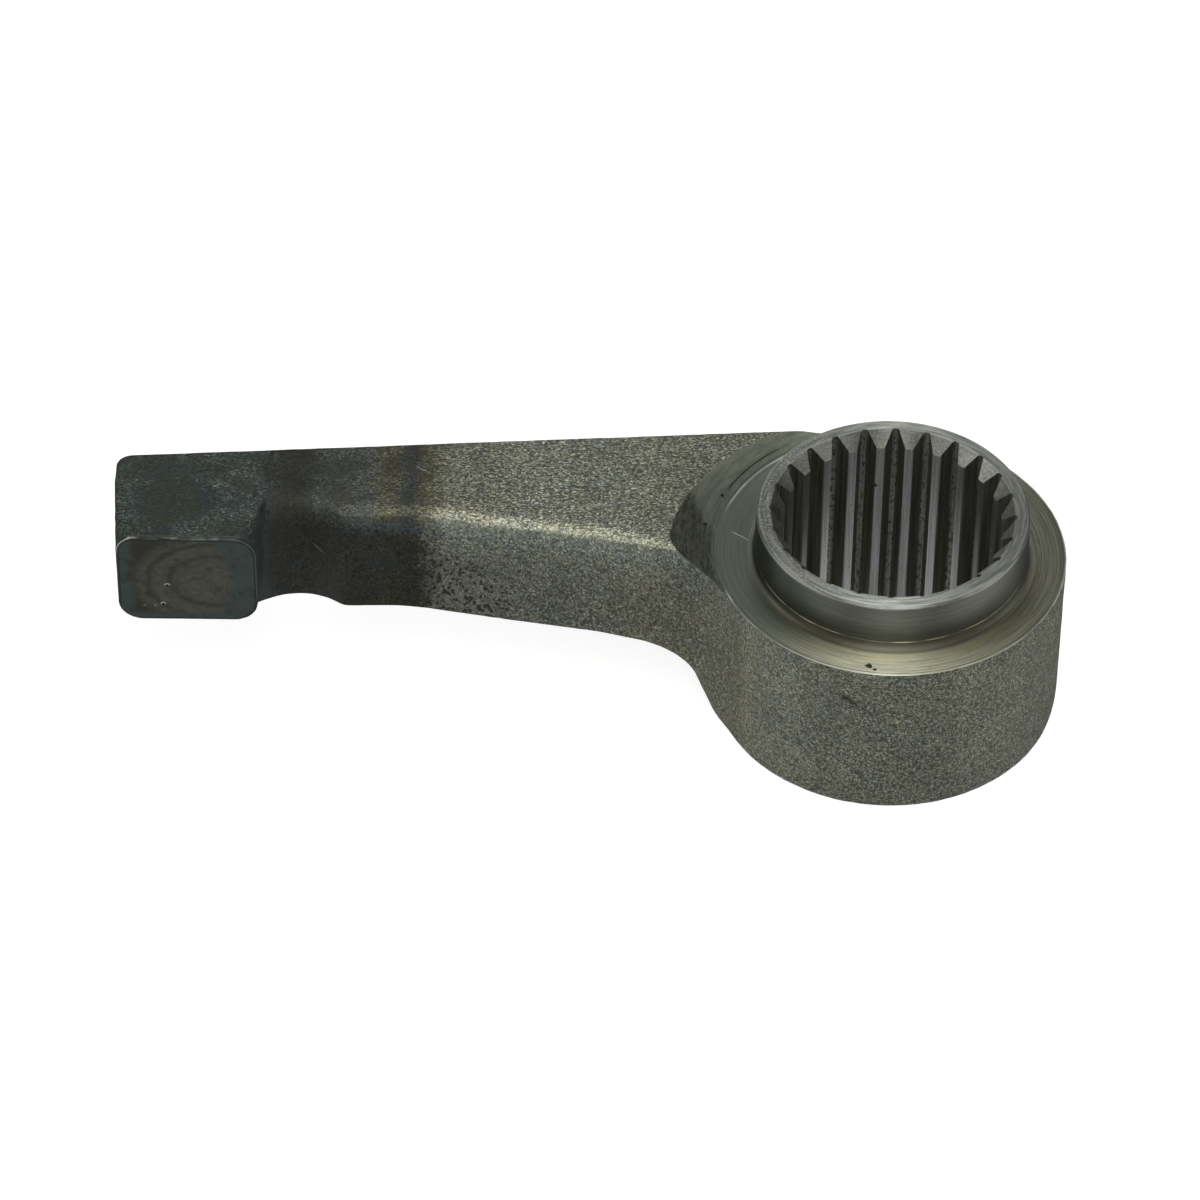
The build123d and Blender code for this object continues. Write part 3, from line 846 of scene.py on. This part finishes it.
    # hollow of the scoop, and the bluish step beside the pad
    hol = t.step(t.math("ADD", t.vmath_len((t.x, t.y, 0.0), (-61.9, -2.05, 0.0)), t.math("MULTIPLY", t.math("SUBTRACT", grain, 0.5), 1.2)), 6.6, 6.0)
    hol = t.math("MULTIPLY", hol, t.step(t.x, -66.1, -65.3))
    holc = t.mix(t.step(t.noise(t.p, 0.8, 3.0, 0.6), 0.40, 0.60), (0.034, 0.033, 0.026), (0.031, 0.037, 0.034))
    holc = t.mix(1.0, holc, t.mix(t.step(grain, 0.3, 0.7), (0.66, 0.66, 0.66), (1.45, 1.45, 1.45)), "MULTIPLY")
    # painted glints: light dots in the hollow
    holc = t.mix(t.math("MULTIPLY", t.math("MULTIPLY", rim, t.step(t.noise(t.p, 0.9, 2.0, 0.5), 0.50, 0.62)), 0.30), holc, (0.20, 0.23, 0.21))
    dark = t.mix(t.math("MULTIPLY", hol, 0.85), dark, holc)
    # painted light: the step's face, which the light leaves nearly black, is painted a lighter blue-grey
    stepm = t.math("MULTIPLY", t.math("MULTIPLY", t.step(t.x, -66.6, -66.0), t.step(t.x, -64.6, -65.3)), t.step(t.y, 4.0, 2.5))
    dark = t.mix(t.math("MULTIPLY", stepm, 0.6), dark, (0.050, 0.064, 0.066))

    # the pad's face: a brown dish with arcs in it, and a flat blued strip
    face = t.math("MULTIPLY", t.step(t.y, -1.15, -1.45), t.step(t.x, -65.7, -65.9))
    fw = t.noise(t.p, 0.65, 3.0, 0.6)
    fx = t.math("ADD", t.x, t.math("MULTIPLY", t.math("SUBTRACT", fw, 0.5), 2.2))
    rho = t.vmath_len((t.math("MULTIPLY", fx, 0.92), 0.0, t.math("MULTIPLY", t.z, 1.2)), (-64.95, 0.0, 19.1))
    arcs = t.ramp(t.math("DIVIDE", rho, 10.0), [
        (0.0, 0.95), (0.24, 1.0), (0.36, 0.80), (0.42, 0.40), (0.48, 0.85), (0.57, 0.95), (0.635, 0.35), (0.70, 0.85), (0.76, 0.5), (0.82, 0.2)], "EASE")
    dish = t.mix(t.step(t.noise(t.p, 1.6, 3.0, 0.6), 0.3, 0.7), (0.082, 0.082, 0.069), (0.110, 0.108, 0.090))
    dish = t.mix(arcs, t.mix(1.0, dish, (0.34, 0.37, 0.37), "MULTIPLY"), dish)
    flatc = t.mix(t.noise(t.p, 0.8, 2.0, 0.5), (0.052, 0.067, 0.064), (0.070, 0.088, 0.084))
    bow = t.math("POWER", t.math("ABSOLUTE", t.math("SUBTRACT", t.z, 15.8)), 2.0)
    fe = t.math("ADD", t.math("ADD", fx, t.math("MULTIPLY", bow, 0.062)), t.math("MULTIPLY", t.math("SUBTRACT", t.noise(t.p, 1.5, 3.0, 0.6), 0.5), 1.2))
    edge = t.math("MULTIPLY", t.step(fe, -68.2, -69.5), t.math("MULTIPLY", t.step(fx, -79.7, -78.6), t.step(t.z, 11.0, 11.9)))
    fc = t.mix(edge, flatc, dish)
    fc = t.mix(t.math("MULTIPLY", t.step(fw, 0.56, 0.66), 0.5), fc, (0.036, 0.038, 0.032))
    dark = t.mix(face, dark, fc)
    # painted shade on the face's rounded rim, and a painted highlight: a light line round the face, brightest at the
    # upper corners
    cr = t.step(t.x, -74.0, -72.0, 1.8, 2.6)
    qx = t.math("ADD", t.math("SUBTRACT", t.math("ABSOLUTE", t.math("ADD", t.x, 73.325)), 7.325), cr)
    qz = t.math("ADD", t.math("SUBTRACT", t.math("ABSOLUTE", t.math("SUBTRACT", t.z, 16.2)), 5.85), cr)
    sd = t.vmath_len((t.math("MAXIMUM", qx, 0.0), t.math("MAXIMUM", qz, 0.0), 0.0), (0.0, 0.0, 0.0))
    sd = t.math("SUBTRACT", sd, cr)
    lip = t.math("MULTIPLY", t.step(sd, -0.42, -0.30), t.math("MULTIPLY", t.step(t.y, -1.25, -1.45), t.step(t.x, -65.5, -65.8)))
    dark = t.mix(t.math("MULTIPLY", lip, 0.9), dark, (0.024, 0.029, 0.027))
    # the painted highlight line round the face
    line = t.step(t.math("ABSOLUTE", t.math("ADD", sd, 0.13)), 0.075, 0.025)
    line = t.math("MULTIPLY", line, t.math("MULTIPLY", t.step(t.y, -1.35, -1.6), t.step(t.z, 13.2, 14.2)))
    lw = t.math("ADD", t.math("MULTIPLY", t.step(t.x, -78.0, -79.0), t.step(t.z, 19.5, 20.6)), t.math("MULTIPLY", t.step(t.x, -69.5, -67.5), 0.16))
    lw = t.math("MAXIMUM", lw, t.math("MULTIPLY", t.step(fw, 0.46, 0.60, 0.0, 0.25), t.step(t.z, 20.5, 21.4)))
    line = t.math("MULTIPLY", line, lw)
    dark = t.mix(line, dark, (0.32, 0.33, 0.285))
    # two small pits with bright lips, and specks
    for x, z, w in ((-75.46, 15.20, 0.36), (-75.95, 12.55, 0.34), (-77.9, 12.35, 0.16), (-76.8, 12.4, 0.15)):
        dpt = t.vmath_len((t.x, 0.0, t.z), (x, 0.0, z))
        lip = t.math("MULTIPLY", t.step(dpt, w, w * 0.7), t.step(t.z, z - 0.10, z + 0.08))
        dark = t.mix(t.math("MULTIPLY", t.math("MULTIPLY", lip, face), 0.9), dark, (0.50, 0.50, 0.46))
        dark = t.mix(t.math("MULTIPLY", t.step(dpt, w * 0.55, w * 0.35), face), dark, (0.012, 0.012, 0.010))
    # scratches
    dark = t.scratch(dark, (-59.8, 3.5, 15.7), (0.72, 0.0, -0.69), (0.69, 0.0, 0.72), 0.95, 0.07, (0.20, 0.19, 0.15))
    ue = t.math("ADD", u, edge_n)
    hard = t.step(ue, -46.4, -49.6)
    hard = t.math("ADD", hard, t.math("MULTIPLY", flat, t.math("SUBTRACT", t.step(t.math("ADD", u, t.math("MULTIPLY", edge_n, 0.4)), -48.1, -49.7), hard)))
    col = t.mix(hard, bare, dark)
    col = t.mix(t.math("MULTIPLY", t.math("MULTIPLY", speck, zone), 0.5), col, (0.018, 0.018, 0.015))
    col = t.scratch(col, (-49.1, 10.3, 21.1), (0.80, -0.6, 0.0), (0.6, 0.8, 0.0), 1.0, 0.09, (0.32, 0.38, 0.42))
    col = t.scratch(col, (-36.6, 8.9, 21.3), (1.0, -0.03, 0.0), (0.03, 1.0, 0.0), 1.4, 0.07, (0.42, 0.44, 0.40))
    col = t.scratch(col, (1.0, -18.2, 11.1), (0.95, 0.0, -0.2), (0.2, 0.0, 0.95), 0.9, 0.07, (0.40, 0.38, 0.28))
    t.put(t.bsdf.inputs["Base Color"], col)
    t.bsdf.inputs["Metallic"].default_value = 0.6
    rough = t.math("ADD", 0.42, t.math("MULTIPLY", grain, 0.14))
    t.put(t.bsdf.inputs["Roughness"], rough)
    # the pad's face is rolled smooth
    height = t.math("MULTIPLY", height, t.math("SUBTRACT", 1.0, t.math("MULTIPLY", face, 0.85)))
    t.put(t.bsdf.inputs["Normal"], t.bump(height, 0.30, 1.0))
    return t.mat


def radial(t):
    """Radius, and the two direction cosines round the bore."""
    r = t.math("SQRT", t.math("ADD", t.math("MULTIPLY", t.x, t.x), t.math("MULTIPLY", t.y, t.y)))
    return r, t.math("DIVIDE", t.x, r), t.math("DIVIDE", t.y, r)


def turned_material():
    t = Tree("turned_steel")
    r, c, s = radial(t)
    along = t.math("SUBTRACT", r, t.z)
    rings = t.noise(t.combine(t.math("MULTIPLY", along, 9.0), t.math("MULTIPLY", c, 1.2), t.math("MULTIPLY", s, 1.2)), 1.0, 2.0, 0.6)
    marks = t.noise(t.combine(t.math("MULTIPLY", along, 3.2), t.math("MULTIPLY", c, 4.0), t.math("MULTIPLY", s, 4.0)), 1.0, 3.0, 0.6)
    scratch = t.noise(t.combine(t.math("MULTIPLY", along, 26.0), t.math("MULTIPLY", c, 6.0), t.math("MULTIPLY", s, 6.0)), 1.0, 2.0, 0.6)
    height = t.math("ADD", t.math("MULTIPLY", rings, 0.6), t.math("MULTIPLY", scratch, 0.35))
    steel = t.mix(t.step(rings, 0.30, 0.70), (0.17, 0.18, 0.152), (0.36, 0.375, 0.325))
    steel = t.mix(t.math("MULTIPLY", t.step(marks, 0.52, 0.75), 0.45), steel, (0.46, 0.48, 0.42))
    steel = t.mix(t.math("MULTIPLY", t.step(scratch, 0.58, 0.70), 0.7), steel, (0.10, 0.10, 0.078))
    steel = t.mix(t.math("MULTIPLY", t.step(scratch, 0.42, 0.32), 0.45), steel, (0.55, 0.565, 0.49))
    flat_r = t.math("MULTIPLY", t.step(r, 14.6, 15.2), t.step(r, 18.42, 18.34))
    # oily brown tint beside the collar
    oil = t.math("MULTIPLY", t.step(r, 17.8, 15.4), t.math("MULTIPLY", t.step(t.z, 21.4, 20.2), t.step(s, 0.2, -0.4)))
    oil = t.math("MULTIPLY", oil, t.step(marks, 0.42, 0.62))
    steel = t.mix(t.math("MULTIPLY", oil, 0.55), steel, (0.33, 0.29, 0.165))
    grime = t.noise(t.p, 0.9, 4.0, 0.65)
    steel = t.mix(t.math("MULTIPLY", t.step(grime, 0.60, 0.75), 0.45), steel, (0.15, 0.145, 0.105))
    # the collar's wall: painted shade, darker towards its foot, and on the side of the arm, and a little on the far
    # side
    cw = t.math("MULTIPLY", t.step(r, 14.6, 14.3), t.step(t.z, 25.0, 24.7))
    low = t.math("MULTIPLY", t.step(t.z, 23.6, 20.7), t.step(s, -0.3, -0.85))
    steel = t.mix(t.math("MULTIPLY", cw, 0.55), steel, (0.27, 0.285, 0.248))
    steel = t.mix(t.math("MULTIPLY", cw, 0.7), steel, t.mix(1.0, steel, (0.70, 0.71, 0.72), "MULTIPLY"))
    steel = t.mix(t.math("MULTIPLY", t.math("MULTIPLY", cw, low), 0.9), steel, t.mix(1.0, steel, (0.40, 0.40, 0.38), "MULTIPLY"))
    steel = t.mix(t.math("MULTIPLY", t.math("MULTIPLY", cw, t.step(c, -0.35, -0.8)), 0.8), steel, t.mix(1.0, steel, (0.21, 0.23, 0.22), "MULTIPLY"))
    steel = t.mix(t.math("MULTIPLY", t.math("MULTIPLY", cw, t.step(c, 0.45, 0.95)), 0.5), steel, t.mix(1.0, steel, (0.62, 0.62, 0.60), "MULTIPLY"))
    # the shoulder: a painted highlight, faintly golden, in front, and painted shade on the far side of the arm
    steel = t.mix(t.math("MULTIPLY", flat_r, t.step(s, -0.45, -0.85)), steel, t.mix(1.0, steel, (1.58, 1.52, 1.36), "MULTIPLY"))
    steel = t.mix(t.math("MULTIPLY", flat_r, t.step(c, 0.35, 0.85)), steel, t.mix(1.0, steel, (0.68, 0.66, 0.62), "MULTIPLY"))
    # painted shade on the side of the arm: an even grey in place of the rings, and a blue-green darkening
    steel = t.mix(t.math("MULTIPLY", flat_r, t.step(c, -0.35, -0.8, 0.0, 0.6)), steel, (0.25, 0.265, 0.225))
    arm_side_shade = t.math("MULTIPLY", t.step(c, -0.45, -0.85), t.step(r, 14.4, 15.2))
    steel = t.mix(t.math("MULTIPLY", arm_side_shade, 0.8), steel, t.mix(1.0, steel, (0.48, 0.55, 0.53), "MULTIPLY"))
    # a line cut near the rim, the bright burr outside it, and the thin bright line at the collar's foot
    rl = t.step(t.math("ABSOLUTE", t.math("SUBTRACT", r, 17.90)), 0.09, 0.03)
    steel = t.mix(t.math("MULTIPLY", t.math("MULTIPLY", rl, t.step(c, -0.95, -0.85)), t.step(marks, 0.35, 0.6, 0.35, 0.9)), steel, (0.10, 0.10, 0.075))
    burr = t.math("MULTIPLY", t.math("MULTIPLY", t.step(r, 18.10, 18.20), t.step(r, 18.36, 18.32)), t.step(marks, 0.40, 0.60, 0.2, 0.9))
    burr = t.math("MULTIPLY", burr, t.step(c, -0.96, -0.90))
    steel = t.mix(burr, steel, (0.80, 0.82, 0.76))
    foot = t.math("MULTIPLY", t.math("MULTIPLY", t.step(t.z, 20.22, 20.28), t.step(t.z, 20.42, 20.36)), t.step(r, 14.5, 14.4))
    steel = t.mix(t.math("MULTIPLY", foot, t.step(marks, 0.40, 0.62, 0.1, 0.9)), steel, (0.75, 0.68, 0.48))
    root = t.math("MULTIPLY", t.math("MULTIPLY", t.step(t.z, 20.26, 20.10), t.step(r, 15.3, 14.8)), t.step(s, -0.5, -0.9))
    steel = t.mix(t.math("MULTIPLY", root, 0.85), steel, (0.11, 0.105, 0.075))
    # the wall cut into the arm: painted shade, nearly black on the arm's side, and painted light, brighter, towards the
    # back
    wallm = t.step(r, 18.42, 18.62)
    dd = t.math("SUBTRACT", t.math("SUBTRACT", r, 18.5), t.math("MULTIPLY", t.math("MAXIMUM", t.math("SUBTRACT", t.y, 2.2), 0.0), 0.72))
    dd = t.math("ADD", dd, t.math("MULTIPLY", t.math("SUBTRACT", marks, 0.5), 2.0))
    wall_shade = t.math("MULTIPLY", wallm, t.step(dd, -0.5, 0.9))
    short = t.noise(t.combine(t.math("MULTIPLY", along, 6.5), t.math("MULTIPLY", c, 13.0), t.math("MULTIPLY", s, 13.0)), 1.0, 3.0, 0.65)
    dust = t.noise(t.p, 4.2, 2.0, 0.6)
    torn_w = t.math("ADD", t.math("MULTIPLY", short, 0.55), t.math("ADD", t.math("MULTIPLY", dust, 0.27), t.math("MULTIPLY", rings, 0.18)))
    streak = t.mix(t.step(torn_w, 0.38, 0.63), (0.068, 0.075, 0.058), (0.195, 0.21, 0.172))
    even = t.mix(t.step(torn_w, 0.38, 0.62), (0.205, 0.217, 0.186), (0.315, 0.33, 0.288))
    steel = t.mix(t.math("MULTIPLY", wallm, 0.72), steel, even)
    steel = t.mix(t.math("MULTIPLY", wall_shade, 0.95), steel, streak)
    steel = t.mix(t.math("MULTIPLY", wallm, t.math("SUBTRACT", 1.0, wall_shade)), steel, t.mix(1.0, steel, (1.22, 1.23, 1.15), "MULTIPLY"))
    arc = t.math("MULTIPLY", t.step(t.math("ABSOLUTE", t.math("SUBTRACT", r, 19.15)), 0.11, 0.04), t.math("MULTIPLY", t.step(s, 0.44, 0.50), t.step(s, 0.86, 0.74)))
    steel = t.mix(t.math("MULTIPLY", arc, 0.85), steel, (0.05, 0.05, 0.038))
    # pits, a nick in the rim and a scratch
    for p3, w in (((-17.51, 7.95, 0.0), 0.20), ((-10.84, 13.16, 0.0), 0.18), ((-19.38, 3.25, 0.0), 0.26), ((-2.75, -16.75, 0.0), 0.40),
                  ((-2.1, -17.35, 0.0), 0.25), ((-2.45, -17.05, 0.0), 0.22)):
        dpt = t.vmath_len((t.x, t.y, 0.0), p3)
        dpt = t.math("ADD", dpt, t.math("MULTIPLY", t.math("SUBTRACT", t.noise(t.p, 3.0, 2.0), 0.5), 0.5))
        steel = t.mix(t.math("MULTIPLY", t.step(dpt, w, w * 0.6), t.step(t.z, 24.0, 23.0)), steel, (0.035, 0.028, 0.016))
    steel = t.scratch(steel, (-15.7, 2.3, 19.5), (0.81, -0.58, 0.0), (0.58, 0.81, 0.0), 1.3, 0.06, (0.62, 0.64, 0.60))
    # the ring and the lead-in of the bore, with torn bright flecks on the arm's side
    topm = t.step(t.z, 24.75, 24.95)
    lead = t.math("MULTIPLY", t.step(r, 12.85, 12.65), t.step(t.z, 23.2, 23.6))
    ringc = t.mix(t.step(marks, 0.35, 0.65), (0.17, 0.18, 0.165), (0.33, 0.345, 0.32))
    fleck = t.noise(t.p, 4.5, 2.0, 0.6)
    torn = t.math("MULTIPLY", t.step(fleck, 0.58, 0.68), t.step(c, -0.2, -0.9, 0.04, 0.7))
    ringc = t.mix(torn, ringc, (0.72, 0.73, 0.68))
    # painted shade: dark flecks, many more of them on the arm's side
    ringc = t.mix(t.math("MULTIPLY", t.step(fleck, 0.44, 0.34), t.step(c, 0.0, -0.7, 0.10, 0.8)), ringc, (0.13, 0.135, 0.115))
    # a bright lip on the ring's outer edge: a burr, painted brighter as a highlight
    lip = t.math("MULTIPLY", t.step(r, 13.80, 13.92), t.step(marks, 0.38, 0.56, 0.15, 0.7))
    ringc = t.mix(lip, ringc, (0.44, 0.455, 0.41))
    steel = t.mix(topm, steel, ringc)
    leadc = t.mix(t.step(fleck, 0.36, 0.64), (0.33, 0.345, 0.315), (0.50, 0.52, 0.475))
    leadc = t.mix(t.math("MULTIPLY", t.step(scratch, 0.52, 0.62), 0.4), leadc, (0.22, 0.225, 0.20))
    # painted shade and light on the lead-in's facets: darker in the middle at the back, towards the front and on the
    # arm's side, lighter on the far side
    back = t.math("MULTIPLY", t.step(t.math("ABSOLUTE", c), 0.42, 0.22), t.step(s, 0.7, 0.9))
    leadc = t.mix(back, leadc, t.mix(1.0, leadc, (0.34, 0.34, 0.33), "MULTIPLY"))
    leadc = t.mix(t.step(s, 0.75, -0.1), leadc, t.mix(1.0, leadc, (0.55, 0.55, 0.53), "MULTIPLY"))
    leadc = t.mix(t.step(c, -0.45, -0.75), leadc, t.mix(1.0, leadc, (0.66, 0.66, 0.64), "MULTIPLY"))
    leadc = t.mix(t.step(c, 0.45, 0.75), leadc, t.mix(1.0, leadc, (1.35, 1.35, 1.33), "MULTIPLY"))
    steel = t.mix(lead, steel, leadc)
    t.put(t.bsdf.inputs["Base Color"], steel)
    t.bsdf.inputs["Metallic"].default_value = 1.0
    t.put(t.bsdf.inputs["Roughness"], t.math("ADD", 0.40, t.math("MULTIPLY", marks, 0.12)))
    # scatter across the tool's grooves, which run round the axis
    t.link(t.combine(t.math("MULTIPLY", s, -1.0), c, 0.0), t.bsdf.inputs["Tangent"])
    t.bsdf.inputs["Anisotropic"].default_value = 0.85
    t.bsdf.inputs["Anisotropic Rotation"].default_value = 0.25
    t.put(t.bsdf.inputs["Normal"], t.bump(height, 0.035, 1.0))
    return t.mat


def bore_material():
    t = Tree("broached_steel")
    r, c, s = radial(t)
    streak = t.noise(t.combine(t.math("MULTIPLY", t.x, 5.0), t.math("MULTIPLY", t.y, 5.0), t.math("MULTIPLY", t.z, 0.10)), 1.0, 3.0, 0.6)
    land = t.step(r, 11.58, 11.44)
    floor_ = t.step(r, 12.62, 12.78)
    # lit and shaded copies of one broached steel: the lands painted light, the floors of the grooves darker, the flanks
    # painted dark as shade
    steel = t.mix(t.step(streak, 0.3, 0.7), (0.50, 0.525, 0.525), (0.76, 0.795, 0.805))
    dirt = t.noise(t.combine(t.x, t.y, t.math("MULTIPLY", t.z, 0.6)), 3.2, 4.0, 0.65)
    flank = t.mix(t.step(streak, 0.3, 0.7), (0.092, 0.092, 0.075), (0.21, 0.215, 0.188))
    groove_floor = t.mix(t.step(streak, 0.3, 0.7), (0.22, 0.23, 0.205), (0.46, 0.47, 0.44))
    groove_floor = t.mix(t.math("MULTIPLY", t.step(dirt, 0.50, 0.62), 0.8), groove_floor, (0.06, 0.056, 0.042))
    steel = t.mix(t.math("MULTIPLY", t.step(dirt, 0.62, 0.72), 0.6), steel, (0.14, 0.135, 0.11))
    col = t.mix(land, t.mix(floor_, flank, groove_floor), steel)
    # painted shade on the bore's sides: flanks and floors much darker, lands a little darker
    col = t.mix(t.step(t.math("ABSOLUTE", c), 0.40, 0.80), col, t.mix(land, t.mix(1.0, col, (0.85, 0.85, 0.83), "MULTIPLY"), t.mix(1.0, col, (0.34, 0.34, 0.33), "MULTIPLY")))
    rust = t.step(t.vmath_len((t.x, 0.0, t.z), (-1.36, 0.0, 18.5)), 0.30, 0.18)
    col = t.mix(t.math("MULTIPLY", rust, t.step(t.y, 5.0, 8.0)), col, (0.30, 0.11, 0.035))
    t.put(t.bsdf.inputs["Base Color"], col)
    t.bsdf.inputs["Metallic"].default_value = 0.9
    t.put(t.bsdf.inputs["Roughness"], t.math("SUBTRACT", 0.50, t.math("MULTIPLY", land, 0.08)))
    t.put(t.bsdf.inputs["Normal"], t.bump(streak, 0.03, 1.0))
    return t.mat


for build in (forged_material, turned_material, bore_material):
    me.materials.append(build())
me.polygons.foreach_set("material_index", region)
me.polygons.foreach_set("use_smooth", np.ones(npoly, bool))

# dark pits, at the vertices
nv = len(me.vertices)
co = np.empty(nv * 3)
me.vertices.foreach_get("co", co)
co = co.reshape(-1, 3) * 1000
_, dark = pits(co)
at = me.attributes.get("pit") or me.attributes.new("pit", "FLOAT", "POINT")
at.data.foreach_set("value", dark.astype(np.float32))

# crisp edges between differently made faces, and at the corners of cut ones
ne = len(me.edges)
nl = len(me.loops)
le = np.empty(nl, np.int32)
me.loops.foreach_get("edge_index", le)
starts = np.empty(npoly, np.int32)
me.polygons.foreach_get("loop_start", starts)
tot = np.empty(npoly, np.int32)
me.polygons.foreach_get("loop_total", tot)
lp = np.repeat(np.arange(npoly), tot)
first = np.full(ne, -1)
second = np.full(ne, -1)
order = np.argsort(le, kind="stable")
es, ps = le[order], lp[order]
new = np.r_[True, es[1:] != es[:-1]]
first[es[new]] = ps[new]
last = np.r_[es[1:] != es[:-1], True]
second[es[last]] = ps[last]
count = np.bincount(le, minlength=ne)
cosang = (nor[first] * nor[second]).sum(1)
sharp = (region[first] != region[second]) | ((region[first] > 0) & (cosang < math.cos(math.radians(20)))) | (cosang < math.cos(math.radians(60)))
se = me.attributes.get("sharp_edge") or me.attributes.new("sharp_edge", "BOOLEAN", "EDGE")
se.data.foreach_set("value", sharp)
me.update()
print("lever: faces", npoly, "triangles", int((tot - 2).sum()), "open edges", int((count != 2).sum()), "turned", int((region == 1).sum()), "bore", int((region == 2).sum()))

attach(forged, "root")
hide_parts("release_lever")

# ---------------------------------------------------------------------------
# floor and light
# ---------------------------------------------------------------------------
fl = make_mesh("floor", np.array([(-4, -4, 0), (4, -4, 0), (4, 4, 0), (-4, 4, 0)], float), np.array([[0, 1, 2, 3]]))
fm = bpy.data.materials.new("floor")
fm.use_nodes = True
fb = fm.node_tree.nodes["Principled BSDF"]
fb.inputs["Base Color"].default_value = (0.40, 0.40, 0.40, 1)
fb.inputs["Roughness"].default_value = 0.9
fb.inputs["Specular IOR Level"].default_value = 0.0
fb.inputs["Emission Color"].default_value = (1, 1, 1, 1)
fb.inputs["Emission Strength"].default_value = 0.84
fl.data.materials.append(fm)
fl.visible_diffuse = True
fl.visible_glossy = False


def studio():
    """A long soft box overhead, painted into the world."""
    w = bpy.data.worlds.new("studio")
    bpy.context.scene.world = w
    w.use_nodes = True
    nt = w.node_tree
    nt.nodes.clear()
    out = nt.nodes.new("ShaderNodeOutputWorld")
    bg = nt.nodes.new("ShaderNodeBackground")
    nt.links.new(bg.outputs[0], out.inputs[0])
    tc = nt.nodes.new("ShaderNodeTexCoord")
    sep = nt.nodes.new("ShaderNodeSeparateXYZ")
    nt.links.new(tc.outputs["Generated"], sep.inputs[0])

    def mth(op, a, b=0.0):
        n = nt.nodes.new("ShaderNodeMath")
        n.operation = op
        for s_, v in zip(n.inputs, (a, b)):
            if isinstance(v, bpy.types.NodeSocket):
                nt.links.new(v, s_)
            else:
                s_.default_value = v
        return n.outputs[0]

    def sst(v, a, b, lo=0.0, hi=1.0):
        n = nt.nodes.new("ShaderNodeMapRange")
        n.interpolation_type = "SMOOTHSTEP"
        nt.links.new(v, n.inputs["Value"])
        n.inputs["From Min"].default_value = a
        n.inputs["From Max"].default_value = b
        n.inputs["To Min"].default_value = lo
        n.inputs["To Max"].default_value = hi
        return n.outputs[0]
    X, Y, Z = sep.outputs
    strip = sst(mth("ABSOLUTE", X), 0.32, 0.03)
    sky = sst(Z, 0.25, 0.60)
    ramp_y = mth("ADD", sst(Y, 0.70, -0.40, 1.45, 4.6), 0.0)
    front = sst(Y, -1.0, -0.82)
    box = mth("MULTIPLY", mth("MULTIPLY", mth("MULTIPLY", strip, sky), ramp_y), front)
    upper = mth("MULTIPLY", sst(Z, -0.10, 0.9, 0.14, 0.24), sst(Y, 0.85, 0.25, 0.6, 1.0))
    side = mth("MULTIPLY", mth("MULTIPLY", sst(mth("ABSOLUTE", X), 0.45, 0.90), sst(Y, 0.45, 0.05)), sst(Z, 0.75, 0.30, 0.0, 0.80))
    total = mth("ADD", mth("ADD", box, upper), side)
    nt.links.new(total, bg.inputs["Strength"])
    bg.inputs["Color"].default_value = (1.0, 1.0, 0.98, 1)


studio()
bpy.context.scene.view_settings.view_transform = "Standard"
